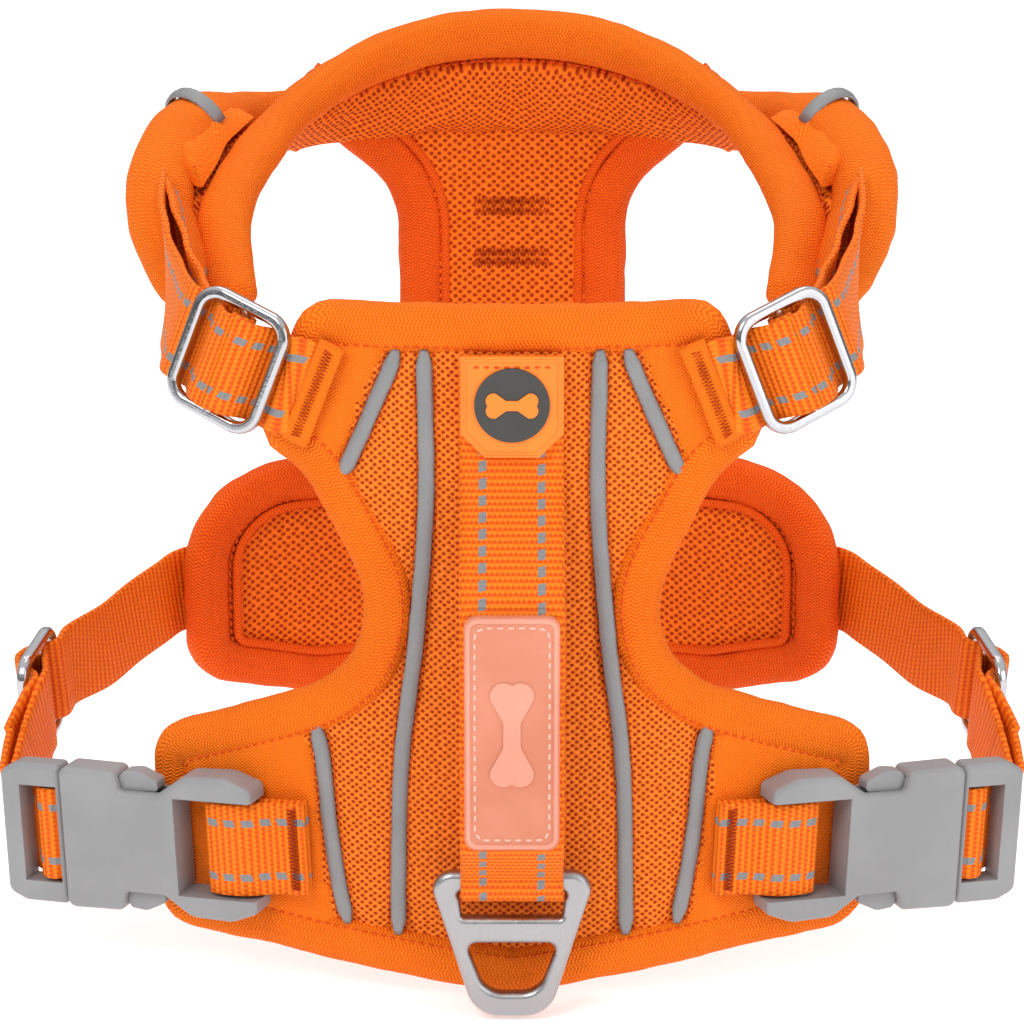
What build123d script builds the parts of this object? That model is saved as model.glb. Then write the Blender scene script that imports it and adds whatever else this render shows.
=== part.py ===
from build123d import *
import math
import os

# A dog harness, in millimetres.
# The origin is the middle of the wearer's torso. +Z points to the head, -Y to the back, +X to the right.

# ---- Webbing, padding and binding ----
webbing_width = 25.0
webbing_thickness = 1.6
binding_width = 12.0
panel_thickness = 5.0
binding_rise = 1.8            # how far the rolled edge stands above the mesh, on each face
piping_width = 4.2
piping_height = 1.4
patch_thickness = 0.8
soft_gap = 0.4                # clearance between soft pieces that are not sewn together

# ---- Back panel ----
back_surface_y = -80.0        # outer face of the panel on the spine
back_radius = 185.0           # curve of the panel round the back
panel_top = 73.5
panel_hem = -107.5
panel_top_half_width = 52.0
panel_tip_half_width = 65.0
panel_tip_z = 38.0
panel_tip_run = (-13.0, -8.5)  # the panel edge under each shoulder tip
panel_waist_half_width = 27.0
panel_waist_z = -17.5
panel_half_width = 94.5
panel_wing_top = -43.5
panel_wing_bottom = -96.5

# ---- Handle, label and identity flap ----
handle_width = 26.0
handle_thickness = 2.0
handle_rise = 24.0            # how far the handle stands off the panel
handle_top = 60.0
handle_bend_z = 29.5
handle_flat_top = 3.0
handle_flat_bottom = -59.0
label_width = 23.5
label_length = 60.0
label_thickness = 2.2
flap_size = 25.4
flap_thickness = 2.0
flap_corner = 6.0
flap_top = 62.0
badge_radius = 9.3
badge_height = 0.7

# ---- Leash rings ----
ring_half_width = 21.8
ring_foot_half_width = 9.5
ring_thickness = 4.6
ring_bar = 5.2
ring_slot = 7.0
ring_crossbar = 7.0
ring_eye = 13.5
ring_foot = 6.4
ring_side = 5.0
ring_corner = 5.0
ring_foot_radius = 8.5
ring_edge_radius = 1.7
ring_eye_radius = 6.4         # lower corners of the eye
ring_clearance = 0.7          # webbing loop to ring bar
ring_bar_z = -72.5            # back ring
front_ring_z = 52.0

# ---- Chest ----
chest_surface_y = 84.0        # inner face of the chest strip on the centre line
chest_radius = 150.0
chest_thickness = 6.0
strip_half_width = 32.0
strip_top = 91.0
strip_flare_half_width = 84.0
strip_flare_z = 74.0
strip_flare_radius = 22.0
pad_half_width = 93.0
pad_top = -4.0
pad_bottom = -74.5
pad_corner = 29.0
yoke_thickness = 7.0
neck_binding_width = 14.0
neck_binding_rise = 1.6
arm_binding_width = 11.0
arm_binding_start = 3         # station where the yoke's free arm edge begins
pocket_station = 5            # station where the shoulder strap enters its pocket
cap_thickness = 1.2

# ---- Metal slides ----
slide_length = 28.0           # along the webbing
slide_rail = 3.2
slide_thickness = 3.2
slide_bar = 3.0
slide_corner = 7.0
slide_edge = 1.2
shoulder_slide_at = (70.6, -71.5, 58.3)
side_slide_at = (130.0, 0.0, -52.0)
slot_clearance = 0.7          # each side of the webbing in a slot

# ---- Free runs of the straps on the right side ----
# Each point is a place on the centre line and the direction across the webbing there.
shoulder_run = [
    ((86.8, -11.0, 82.6), (0.60, 0.60, -0.50)),
    ((86.5, -28.0, 73.0), (0.55, 0.30, -0.78)),
    ((85.0, -46.0, 66.5), (0.45, -0.02, -0.90)),
]
shoulder_return_run = [
    ((81.3, -10.5, 79.6), (0.60, 0.60, -0.50)),
    ((80.0, -28.0, 70.5), (0.55, 0.30, -0.78)),
    ((80.0, -45.0, 63.5), (0.45, -0.02, -0.90)),
]
shoulder_anchor = [(53.8, 53.0), (50.0, 51.6)]
belly_run_near_buckle = (134.4, -37.0, -70.3)
belly_run_to_slide = [(134.2, -31.5, -66.7), (133.3, -24.0, -61.5)]
belly_return_near_buckle = (131.4, -35.4, -70.2)
belly_return_to_slide = [(130.7, -30.2, -66.4), (129.6, -24.0, -61.8)]
belly_run_to_pad = [(115.0, 30.0, -47.0), (108.5, 42.0, -44.0), (101.5, 53.5, -41.5)]
belly_anchor = [(92.0, -39.8), (80.0, -39.2)]

# ---- Side release buckles ----
buckle_length = 73.0
buckle_width = 38.6
buckle_depth = 10.0
buckle_yaw = 21.0             # degrees, turned round the flank
buckle_start = (64.5, -76.0, -69.0)
buckle_drop = 2.8             # degrees, outer end lower
female_length = 55.0
female_wall = 1.9
female_waist_start = 26.5
female_waist_end = 37.5
female_waist_half_width = 13.8
female_bar_start = 6.5
female_bar = 6.0
female_window_end = 22.0
male_depth = 7.0
male_root = 2.6
strap_slot = 3.0
buckle_edge = 1.6
buckle_bar = 3.2
buckle_bar_thickness = 3.0
prong_width = 3.4
prong_depth = 4.6
prong_gap = 0.5
buckle_fit = 0.35             # male half inside the female half

far = 400.0                   # longer than the harness, for cutting bodies


# ---- Helpers ----
def mirrored(points):
    """A closed outline from its right half, listed from the top centre to the bottom centre."""
    left = [(-x, z) for x, z in reversed(points) if x > 0]
    return list(points) + left


def mirrored_radii(points, radii):
    left = [r for (x, z), r in zip(reversed(points), reversed(radii)) if x > 0]
    return list(radii) + left


def filleted_face(points, radii, plane):
    """A flat face on a plane, with one corner radius for each point."""
    line = FilletPolyline(*points, radius=radii, close=True)
    return plane * make_face(line)


def polygon(points, plane=Plane.XZ):
    return plane * make_face(Polyline(*points, close=True))


def tube_wall(axis_y, inner, outer):
    """A cylinder wall round a vertical axis, between two radii."""
    wall = Cylinder(outer, far) - Cylinder(inner, far)
    return Location((0, axis_y, 0)) * wall


def back_layer(face, low, high):
    """Part of the back's curved surface under a face, between two heights above the mesh."""
    wall = tube_wall(back_surface_y + back_radius, back_radius + low, back_radius + high)
    return extrude(face, amount=far / 2, dir=(0, -1, 0)) & wall


def chest_layer(face, low, high):
    """Part of the chest's curved surface, between two heights above its inner face."""
    wall = tube_wall(chest_surface_y - chest_radius, chest_radius + low, chest_radius + high)
    return extrude(face, amount=far / 2, dir=(0, 1, 0)) & wall


def thick_line(points, width):
    """Outline points of a line of the given width through the points, square at both ends."""
    left = []
    right = []
    last = len(points) - 1
    for i, (x, z) in enumerate(points):
        x0, z0 = points[max(i - 1, 0)]
        x1, z1 = points[min(i + 1, last)]
        run = math.hypot(x1 - x0, z1 - z0)
        nx = -(z1 - z0) / run * width / 2
        nz = (x1 - x0) / run * width / 2
        left.append((x + nx, z + nz))
        right.append((x - nx, z - nz))
    return left + right[::-1]


def section_wire(center, across, through, width, thickness):
    """A rectangle round a centre, spanned by two directions."""
    a = across * (width / 2)
    b = through * (thickness / 2)
    corners = [center - a - b, center + a - b, center + a + b, center - a + b]
    return Wire.make_polygon(corners, close=True)


def ribbon(points, acrosses, width, thickness):
    """Flat webbing through the points; each point has the direction across the webbing."""
    places = [Vector(p) for p in points]
    last = len(places) - 1
    wires = []
    for i, place in enumerate(places):
        along = (places[min(i + 1, last)] - places[max(i - 1, 0)]).normalized()
        across = Vector(acrosses[i]).normalized()
        through = along.cross(across).normalized()
        wires.append(section_wire(place, across, through, width, thickness))
    return Solid.make_loft(wires, ruled=True)


def rounded_path(points, radii, steps=6):
    """Points along a line in a plane whose inner corners are rounded to the given radii."""
    corners = [Vector(*p) for p in points]
    path = [corners[0]]
    for before, here, after, radius in zip(corners, corners[1:], corners[2:], radii):
        a = (before - here).normalized()
        b = (after - here).normalized()
        half = math.radians(a.get_angle(b)) / 2
        centre = here + (a + b).normalized() * (radius / math.sin(half))
        start = here + a * (radius / math.tan(half)) - centre
        end = here + b * (radius / math.tan(half)) - centre
        sweep = math.pi - 2 * half
        for k in range(steps + 1):
            t = k / steps
            path.append(centre + (start * math.sin((1 - t) * sweep) + end * math.sin(t * sweep)) / math.sin(sweep))
    path.append(corners[-1])
    return [(p.X, p.Y) for p in path]


def band(points, radii, thickness, width):
    """A strap in the YZ plane, centred on x = 0, from its centre line."""
    outline = thick_line(rounded_path(points, radii), thickness)
    return extrude(polygon(outline, Plane.YZ), amount=width / 2, both=True)


def keep(nodes, name, shape):
    """Store one node as a plain solid or a group of solids."""
    solids = shape.solids() if hasattr(shape, "solids") else [shape]
    nodes[name] = solids[0] if len(solids) == 1 else Compound(children=list(solids))


def both_sides(nodes, name, right):
    keep(nodes, name + "_right", right)
    keep(nodes, name + "_left", mirror(right, about=Plane.YZ))


# ---- Back panel ----
def back_outline(inset=0.0):
    corners = [
        (0, panel_top),
        (panel_top_half_width, panel_top),
        (panel_tip_half_width, panel_tip_z),
        (panel_tip_half_width + panel_tip_run[0], panel_tip_z + panel_tip_run[1]),
        (panel_waist_half_width, panel_waist_z),
        (panel_half_width, panel_wing_top),
        (panel_half_width, panel_wing_bottom),
        (62.0, panel_wing_bottom - 1.5),
        (0, panel_hem),
    ]
    radii = [0, 9.0, 4.0, 14.0, 25.0, 12.0, 11.0, 60.0, 0]
    if inset:
        corners, radii = inset_corners(corners, radii, inset)
    return filleted_face(mirrored(corners), mirrored_radii(corners, radii), Plane.XZ)


def inset_corners(corners, radii, inset):
    """Move every side of a mirrored half outline inwards, and shrink or grow its corner radii."""
    full = mirrored(corners)
    count = len(full)
    moved = []
    for i in range(len(corners)):
        before, here, after = full[i - 1], full[i], full[(i + 1) % count]
        ax, az = here[0] - before[0], here[1] - before[1]
        bx, bz = after[0] - here[0], after[1] - here[1]
        la, lb = math.hypot(ax, az), math.hypot(bx, bz)
        n1 = (az / la, -ax / la)
        n2 = (bz / lb, -bx / lb)
        scale = inset / (1 + n1[0] * n2[0] + n1[1] * n2[1])
        turn = ax * bz - az * bx
        radius = radii[i]
        if radius:
            radius = max(radius - inset, 1.5) if turn < 0 else radius + inset
        moved.append(((here[0] + (n1[0] + n2[0]) * scale, here[1] + (n1[1] + n2[1]) * scale), radius))
    return [m[0] for m in moved], [m[1] for m in moved]


def make_back(nodes):
    outer = back_outline()
    inner = back_outline(binding_width)
    keep(nodes, "back_panel_binding", back_layer(outer - inner, -panel_thickness - binding_rise, binding_rise))
    keep(nodes, "back_panel", back_layer(inner, -panel_thickness, 0))
    lines = {
        "back_piping_inner": [(21.7, 80), (21.4, 24), (24.2, -12.4), (28.0, -44.5), (30.2, -100)],
        "back_piping_upper": [(28.0, 80), (29.2, 60.2), (35.5, 45), (42.0, 29.7), (52, 8)],
        "back_piping_lower": [(50.5, -30), (48.3, -45), (46.8, -62), (44.6, -78), (40.5, -100)],
    }
    pipings = {}
    for name, points in lines.items():
        line = polygon(thick_line(points, piping_width))
        pipings[name] = line & inner
        both_sides(nodes, name, back_layer(pipings[name], 0, piping_height))
    upper = polygon([(31.9, 80), (80, 80), (80, 0), (55.6, 6.6), (44.8, 29.5), (38, 45), (31.7, 60.6)])
    lower = polygon([(53, -20), (80, -20), (80, -100), (43.1, -100), (47.2, -78), (49.4, -62), (50.9, -45)])
    for name, region in (("upper_wing_patch", upper), ("lower_wing_patch", lower)):
        face = region & inner
        for piping in pipings.values():
            face = face - piping
        both_sides(nodes, name, back_layer(face, 0, patch_thickness))


# ---- Handle, label and identity flap ----
def handle_path():
    base = back_surface_y - handle_thickness / 2 - soft_gap
    top = back_surface_y - handle_rise
    wrap = loop_radius(handle_thickness)
    bar_y = ring_bar_y()
    points = [
        (base, handle_top),
        (base, handle_bend_z),
        (top, handle_flat_top),
        (top, handle_flat_bottom),
        (bar_y - wrap, ring_bar_z + 2.5),
        (bar_y - wrap, ring_bar_z - wrap),
        (bar_y + wrap, ring_bar_z - wrap),
        (bar_y + wrap, ring_bar_z + 2.5),
        (base, ring_bar_z + 10.0),
        (base, ring_bar_z + 17.0),
    ]
    radii = [20.0, 20.0, 4.0, 2.0, wrap * 0.96, wrap * 0.96, 2.0, 3.0]
    return points, radii


def loop_radius(thickness):
    """Centre line radius of webbing that turns round a ring's bar."""
    return ring_bar / 2 + ring_clearance + thickness / 2


def ring_bar_y():
    return back_surface_y - handle_thickness - loop_radius(handle_thickness) - 3.4


def make_handle(nodes):
    points, radii = handle_path()
    keep(nodes, "handle", band(points, radii, handle_thickness, handle_width))
    face_y = back_surface_y - handle_rise - handle_thickness / 2
    label_z = (handle_flat_top + handle_flat_bottom) / 2
    label = Box(label_width, label_thickness, label_length)
    label = fillet(label.edges().filter_by(Axis.Y), 3.0)
    keep(nodes, "handle_label", Pos(0, face_y - label_thickness / 2, label_z) * label)


def make_flap(nodes):
    low = flap_top - flap_size
    half = flap_size / 2
    corners = [
        (-half, flap_top), (half, flap_top), (half, low + flap_corner),
        (half - flap_corner, low), (-half + flap_corner, low), (-half, low + flap_corner),
    ]
    inner_y = back_surface_y - handle_thickness - 2 * soft_gap
    face = Pos(0, inner_y, 0) * polygon(corners)
    flap = extrude(face, amount=flap_thickness, dir=(0, -1, 0))
    badge = Cylinder(badge_radius, badge_height, rotation=(90, 0, 0))
    place = Pos(0, inner_y - flap_thickness - badge_height / 2, flap_top - flap_size / 2 + 0.6)
    keep(nodes, "id_flap", flap)
    keep(nodes, "id_badge", place * badge)


# ---- Leash rings ----
def leash_ring():
    """A two-slot D-ring hanging in the XZ plane, with the axis of its top bar at the origin."""
    top = ring_bar / 2
    slot_top = -ring_bar / 2
    slot_bottom = slot_top - ring_slot
    eye_top = slot_bottom - ring_crossbar
    eye_bottom = eye_top - ring_eye
    foot = eye_bottom - ring_foot
    outer = [(ring_half_width, top), (ring_foot_half_width, foot)]
    shape = filleted_face(
        [outer[0], outer[1], (-outer[1][0], foot), (-outer[0][0], top)],
        [ring_corner, ring_foot_radius, ring_foot_radius, ring_corner],
        Plane.XZ,
    )
    slot_half = handle_width / 2 + slot_clearance
    slot = filleted_face(
        [(slot_half, slot_top), (slot_half - 1, slot_bottom), (1 - slot_half, slot_bottom), (-slot_half, slot_top)],
        [1.0, 1.0, 1.0, 1.0],
        Plane.XZ,
    )
    eye_half = ring_half_width - ring_side - (top - eye_top) * 0.26
    eye_foot = ring_foot_half_width - ring_side + 2.2
    eye = filleted_face(
        [(eye_half, eye_top), (eye_foot, eye_bottom), (-eye_foot, eye_bottom), (-eye_half, eye_top)],
        [2.0, ring_eye_radius, ring_eye_radius, 2.0],
        Plane.XZ,
    )
    body = extrude(shape - slot - eye, amount=ring_thickness / 2, both=True)
    return fillet(body.edges().filter_by(Plane.XZ), ring_edge_radius)


def make_rings(nodes):
    ring = leash_ring()
    keep(nodes, "back_leash_ring", Pos(0, ring_bar_y(), ring_bar_z) * ring)
    keep(nodes, "front_leash_ring", Pos(0, front_ring_y(), front_ring_z) * ring)
    base = chest_surface_y + chest_thickness + webbing_thickness / 2 + soft_gap
    wrap = loop_radius(webbing_thickness)
    bar_y = front_ring_y()
    points = [
        (base, front_ring_z + 24.0),
        (base, front_ring_z + 10.0),
        (bar_y - wrap, front_ring_z + 2.0),
        (bar_y - wrap, front_ring_z - wrap),
        (bar_y + wrap, front_ring_z - wrap),
        (bar_y + wrap, front_ring_z + 2.0),
        (base + webbing_thickness + soft_gap, front_ring_z + 13.0),
        (base + webbing_thickness + soft_gap, front_ring_z + 24.0),
    ]
    radii = [3.0, 1.5, wrap * 0.96, wrap * 0.96, 1.5, 3.0]
    keep(nodes, "front_ring_webbing", band(points, radii, webbing_thickness, webbing_width))


def front_ring_y():
    return chest_surface_y + chest_thickness + webbing_thickness + soft_gap + loop_radius(webbing_thickness) + 1.2


# ---- Chest strip and belly pad ----
def chest_corners():
    return [
        (0, strip_top + 30.0),
        (strip_flare_half_width, strip_top + 30.0),
        (strip_half_width, strip_flare_z),
        (strip_half_width, pad_top),
        (pad_half_width, pad_top),
        (pad_half_width, pad_bottom + 10.0),
        (60.0, pad_bottom),
        (0, pad_bottom),
    ]


def chest_radii():
    return [0, 0, strip_flare_radius, 12.0, pad_corner, 16.0, 30.0, 0]


def make_chest(nodes):
    corners = chest_corners()
    radii = chest_radii()
    outer = filleted_face(mirrored(corners), mirrored_radii(corners, radii), Plane.XZ)
    small, small_radii = inset_corners(corners, radii, binding_width)
    inner = filleted_face(mirrored(small), mirrored_radii(small, small_radii), Plane.XZ)
    yoke_room = yoke_piece(
        0, yoke_last(), from_neck(-neck_binding_width / 2), from_arm(0), -yoke_thickness, yoke_thickness
    )
    above = Pos(0, 0, strip_top + 6.0) * Box(far, far, far, align=(Align.CENTER, Align.CENTER, Align.MIN))
    cutter = yoke_room + mirror(yoke_room, about=Plane.YZ)
    ring = chest_layer(outer - inner, -binding_rise, chest_thickness + binding_rise)
    mesh = chest_layer(inner, 0, chest_thickness)
    keep(nodes, "chest_binding", largest(ring - cutter - above))
    keep(nodes, "chest_panel", largest(mesh - cutter - above))


def largest(shape):
    return max(shape.solids(), key=lambda s: s.volume)


# ---- Yoke round the neck ----
# Each station is a point on the neck edge, in the middle of its binding, and a point on the arm edge.
yoke_stations = [
    ((0, 72, 121), (0, 87, 91)),
    ((22, 70, 119), (28, 84.5, 90)),
    ((42, 62, 113), (52, 78, 89)),
    ((60, 47, 103), (74, 66, 88)),
    ((71, 28, 92), (90, 46, 92)),
    ((77, 8, 80), (100, 24, 85)),
    ((75, -9, 66), (97, 6, 67)),
    ((73, -18, 58.5), (92, -5, 61)),
]


def yoke_last():
    return len(yoke_stations) - 1


def yoke_frame(i):
    """Neck point, arm point, direction from neck to arm, and outward direction of a station."""
    neck, arm = (Vector(*p) for p in yoke_stations[i])
    before = Vector(*yoke_stations[i - 1][0])
    after = Vector(*yoke_stations[min(i + 1, yoke_last())][0])
    down = (arm - neck).normalized()
    along = (after - before).normalized() if i else Vector(1, 0, 0)
    out = along.cross(down).normalized()
    return neck, arm, down, out


def from_neck(distance):
    return lambda reach: distance


def from_arm(distance):
    return lambda reach: reach - distance


def yoke_piece(first, last, start, stop, low, high):
    """A ruled piece of the yoke between two stations, between two distances across it and two heights."""
    wires = []
    for i in range(first, last + 1):
        neck, arm, down, out = yoke_frame(i)
        reach = (arm - neck).length
        begin, end = start(reach), stop(reach)
        middle = neck + down * ((begin + end) / 2) + out * ((low + high) / 2)
        wires.append(section_wire(middle, down, out, end - begin, high - low))
    return Solid.make_loft(wires, ruled=True)


def whole_yoke(first, last, start, stop, low, high):
    right = yoke_piece(first, last, start, stop, low, high)
    return right + mirror(right, about=Plane.YZ)


def station_point(i, share, height):
    """A point over a yoke station, at a share of the way from neck to arm and a height."""
    neck, arm, _, out = yoke_frame(i)
    return neck + (arm - neck) * share + out * height


def make_yoke(nodes):
    last = yoke_last()
    half = yoke_thickness / 2
    edge = neck_binding_width / 2
    rise = half + neck_binding_rise
    front = whole_yoke(0, arm_binding_start, from_neck(edge), from_arm(0), -half, half)
    wings = whole_yoke(arm_binding_start, last, from_neck(edge), from_arm(arm_binding_width), -half, half)
    keep(nodes, "chest_yoke", front + wings)
    keep(nodes, "neck_binding", whole_yoke(0, last, from_neck(-edge), from_neck(edge), -rise, rise))
    both_sides(
        nodes,
        "yoke_arm_binding",
        yoke_piece(arm_binding_start, last, from_arm(arm_binding_width), from_arm(0), -rise, rise),
    )
    cap_low = half + soft_gap
    cap_start, cap_stop = from_neck(edge + 2.0), from_arm(arm_binding_width + 1.0)
    cap = yoke_piece(3, pocket_station, cap_start, cap_stop, cap_low, cap_low + cap_thickness)
    both_sides(nodes, "shoulder_cap", cap)
    height = cap_low + piping_height / 2
    line = [station_point(2, share, height + 0.6) * 0.3 + station_point(3, share, height + 0.6) * 0.7
            for share in (0.36, 0.52, 0.68)]
    along = (station_point(3, 0.5, 0) - station_point(2, 0.5, 0)).normalized()
    strip = ribbon(line, [along] * len(line), piping_width, piping_height)
    both_sides(nodes, "yoke_reflective", strip)


# ---- Tri-glide slides ----
def tri_glide():
    """A slide in the XY plane: webbing runs along X, its bar along Y, outer face to +Z."""
    inner_width = webbing_width + 2 * slot_clearance
    outer_width = inner_width + 2 * slide_rail
    frame = RectangleRounded(slide_length, outer_width, slide_corner)
    window = RectangleRounded(slide_length - 2 * slide_rail, inner_width, slide_corner - slide_rail)
    ring = extrude(frame - window, amount=slide_thickness / 2, both=True)
    ring = fillet(ring.edges().filter_by(GeomType.CIRCLE, reverse=True).filter_by(Plane.XY), slide_edge)
    bar = Cylinder(slide_bar / 2, inner_width + slide_rail, rotation=(90, 0, 0))
    return ring + bar


def hardware_plane(origin, along, out):
    """A plane with X along the webbing and Z outwards."""
    x = Vector(*along).normalized()
    z = Vector(*out)
    z = (z - x * z.dot(x)).normalized()
    return Plane(origin=Vector(*origin), x_dir=x, z_dir=z)


def shoulder_plane():
    return hardware_plane(shoulder_slide_at, (-0.84, -0.41, -0.35), (0.40, -0.90, 0.10))


def side_plane():
    return hardware_plane(side_slide_at, (-0.20, 0.95, 0.22), (0.97, 0.20, 0.0))


def through_slide(plane):
    """Centre line of the main run: under both rails and over the bar, along +X of the slide."""
    reach = slide_length / 2 + 2.0
    inside = slide_length / 2 - slide_rail - webbing_thickness / 2 - 0.5
    under = -slide_thickness / 2 - soft_gap - webbing_thickness / 2 - 0.25
    over = slide_bar / 2 + 1.5 * webbing_thickness + 2 * soft_gap + 0.6
    path = [
        (-reach, under), (-inside, under), (-inside * 0.46, over * 0.75), (0, over),
        (inside * 0.46, over * 0.75), (inside, under), (reach, under),
    ]
    return [plane.from_local_coords(Vector(x, 0, z)) for x, z in path]


def round_slide_bar(plane):
    """Centre line of the return run: in under the rail from -X, then round the bar."""
    reach = slide_length / 2 - 1.5
    turn = slide_bar / 2 + soft_gap + webbing_thickness / 2
    side = turn * math.sqrt(0.5)
    under = -slide_thickness / 2 - 2 * soft_gap - 1.5 * webbing_thickness
    path = [
        (-reach, under - 0.4), (-6.5, under), (-1.2, -turn), (side, -side),
        (turn, 0), (side, side), (-0.4, turn), (-2.4, turn * 0.5),
    ]
    return [plane.from_local_coords(Vector(x, 0, z)) for x, z in path]


def make_slides(nodes):
    both_sides(nodes, "shoulder_slide", shoulder_plane() * tri_glide())
    both_sides(nodes, "side_slide", side_plane() * tri_glide())


# ---- Straps ----
def on_back(x, z, height):
    """A point at a height above the back panel's outer face."""
    reach = back_radius + height
    return Vector(x, back_surface_y + back_radius - math.sqrt(reach * reach - x * x), z)


def make_shoulder_straps(nodes):
    plane = shoulder_plane()
    slide_across = plane.y_dir
    lift = binding_rise + 2 * soft_gap + webbing_thickness / 2
    bed = yoke_thickness / 2 + neck_binding_rise + soft_gap + webbing_thickness / 2
    pocket = station_point(pocket_station, 0.5, bed + 4.2)
    pocket_across = yoke_frame(pocket_station)[2]
    route = [(pocket, pocket_across)] + shoulder_run
    route += [(point, slide_across) for point in through_slide(plane)]
    route += [(on_back(x, z, lift), slide_across) for x, z in shoulder_anchor]
    main = ribbon([r[0] for r in route], [r[1] for r in route], webbing_width, webbing_thickness)
    both_sides(nodes, "shoulder_strap", main)
    back = [(station_point(pocket_station, 0.45, bed + 0.8), pocket_across)] + shoulder_return_run
    back += [(point, slide_across) for point in round_slide_bar(plane)]
    loop = ribbon([r[0] for r in back], [r[1] for r in back], webbing_width, webbing_thickness)
    both_sides(nodes, "shoulder_strap_return", loop)


def make_belly_straps(nodes):
    plane = side_plane()
    buckle = buckle_plane()
    up = (0.0, 0.0, 1.0)
    lift = chest_thickness + binding_rise + 2 * soft_gap + webbing_thickness / 2
    outer_end, inner_end = (buckle.from_local_coords(Vector(*p)) for p in strap_loop_ends(1.2))
    route = [(outer_end, buckle.y_dir), (belly_run_near_buckle, buckle.y_dir)]
    route += [(point, plane.y_dir) for point in belly_run_to_slide]
    route += [(point, plane.y_dir) for point in through_slide(plane)]
    route += [(point, up) for point in belly_run_to_pad]
    route += [(on_chest(x, z, lift), up) for x, z in belly_anchor]
    main = ribbon([r[0] for r in route], [r[1] for r in route], webbing_width, webbing_thickness)
    both_sides(nodes, "belly_strap", main)
    back = [(inner_end, buckle.y_dir), (belly_return_near_buckle, buckle.y_dir)]
    back += [(point, plane.y_dir) for point in belly_return_to_slide]
    back += [(point, plane.y_dir) for point in round_slide_bar(plane)]
    loop = ribbon([r[0] for r in back], [r[1] for r in back], webbing_width, webbing_thickness)
    both_sides(nodes, "belly_strap_return", loop)


def on_chest(x, z, height):
    reach = chest_radius + height
    return Vector(x, chest_surface_y - chest_radius + math.sqrt(reach * reach - x * x), z)


# ---- Side release buckles ----
def buckle_plane():
    yaw = math.radians(buckle_yaw)
    drop = math.radians(buckle_drop)
    along = (math.cos(yaw) * math.cos(drop), math.sin(yaw) * math.cos(drop), -math.sin(drop))
    return hardware_plane(buckle_start, along, (math.sin(yaw), -math.cos(yaw), 0.0))


def slot_half_width():
    return webbing_width / 2 + slot_clearance


def both_edges(points):
    """A closed outline in XY from its +Y half, listed along X."""
    return list(points) + [(x, -y) for x, y in reversed(points)]


def male_start():
    return female_length + buckle_fit


def female_half():
    half = buckle_width / 2
    waist = female_waist_half_width
    points = [
        (0, half - 2.6), (7.5, half + 0.2), (19.0, half - 0.2), (female_waist_start, waist),
        (female_waist_end, waist), (female_waist_end + 1.2, half - 0.3), (female_length, half),
    ]
    radii = [2.0, 6.0, 6.0, 3.0, 1.2, 2.0, 2.5]
    shape = filleted_face(both_edges(points), radii + radii[::-1], Plane.XY)
    body = extrude(shape, amount=buckle_depth / 2, both=True)
    body = fillet(body.edges().filter_by(Plane.XY), buckle_edge)
    tunnel_width = 2 * (half - female_wall)
    tunnel_length = female_length - female_waist_start
    tunnel = Box(tunnel_length, tunnel_width, prong_depth + 2 * buckle_fit)
    tunnel = Pos(female_waist_start + tunnel_length / 2, 0, 0) * tunnel
    slot = 2 * slot_half_width()
    open_end = Pos(female_bar_start / 2 - 1, 0, 0) * Box(female_bar_start + 2, slot, far)
    window_length = female_window_end - female_bar_start - female_bar
    window = Pos(female_window_end - window_length / 2, 0, 0) * Box(window_length, slot, far)
    thin = Box(female_bar, slot, far) - Box(female_bar, slot, buckle_bar_thickness)
    thin = Pos(female_bar_start + female_bar / 2, 0, 0) * thin
    return body - tunnel - open_end - window - thin


def male_half():
    half = buckle_width / 2
    start = male_start()
    end = buckle_length
    points = [(start, half - 0.2), (end - 5.0, half - 0.2), (end, half - 2.6)]
    shape = filleted_face(both_edges(points), [1.5, 5.0, 3.0, 3.0, 5.0, 1.5], Plane.XY)
    body = extrude(shape, amount=male_depth / 2, both=True)
    body = fillet(body.edges().filter_by(Plane.XY), 1.4)
    slot = 2 * slot_half_width()
    for low, high in male_slots():
        body = body - Pos((low + high) / 2, 0, 0) * Box(high - low, slot, far)
    low, high = male_slots()[0][1], male_slots()[1][0]
    thin = Box(high - low, slot, far) - Box(high - low, slot, buckle_bar_thickness)
    body = body - Pos((low + high) / 2, 0, 0) * thin
    root_width = 2 * (half - female_wall - buckle_fit)
    root = Pos(start - male_root / 2 + 0.5, 0, 0) * Box(male_root + 1.0, root_width, prong_depth)
    tongue_length = start - male_root - female_waist_start - 2.0
    tongue = Pos(start - male_root - tongue_length / 2 + 0.5, 0, 0) * Box(tongue_length + 1.0, 4.4, 3.0)
    return body + root + tongue


def male_slots():
    """Start and end of the two webbing slots of the male half, along X."""
    first = male_start() + 1.2
    second = first + strap_slot + buckle_bar
    return (first, first + strap_slot), (second, second + strap_slot + 1.6)


def prong():
    """The sprung arm on the +Y side, with the pad that fills the side window."""
    outer = buckle_width / 2 - female_wall - buckle_fit - 0.2
    inner = outer - prong_width
    root = prong_root()
    pad_start = female_waist_start + 0.8
    pad_end = female_waist_end - 0.5
    points = [
        (root, inner), (root, outer), (pad_end + 1.5, outer), (pad_end, buckle_width / 2 - 0.7),
        (pad_start + 5.5, buckle_width / 2 - 0.2), (pad_start, outer - 0.3), (pad_start, inner + 0.4), (pad_end, inner),
    ]
    shape = filleted_face(points, [0, 0, 0, 0.8, 4.0, 1.2, 1.0, 6.0], Plane.XY)
    return extrude(shape, amount=prong_depth / 2, both=True)


def prong_root():
    return male_start() - male_root - prong_gap


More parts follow.
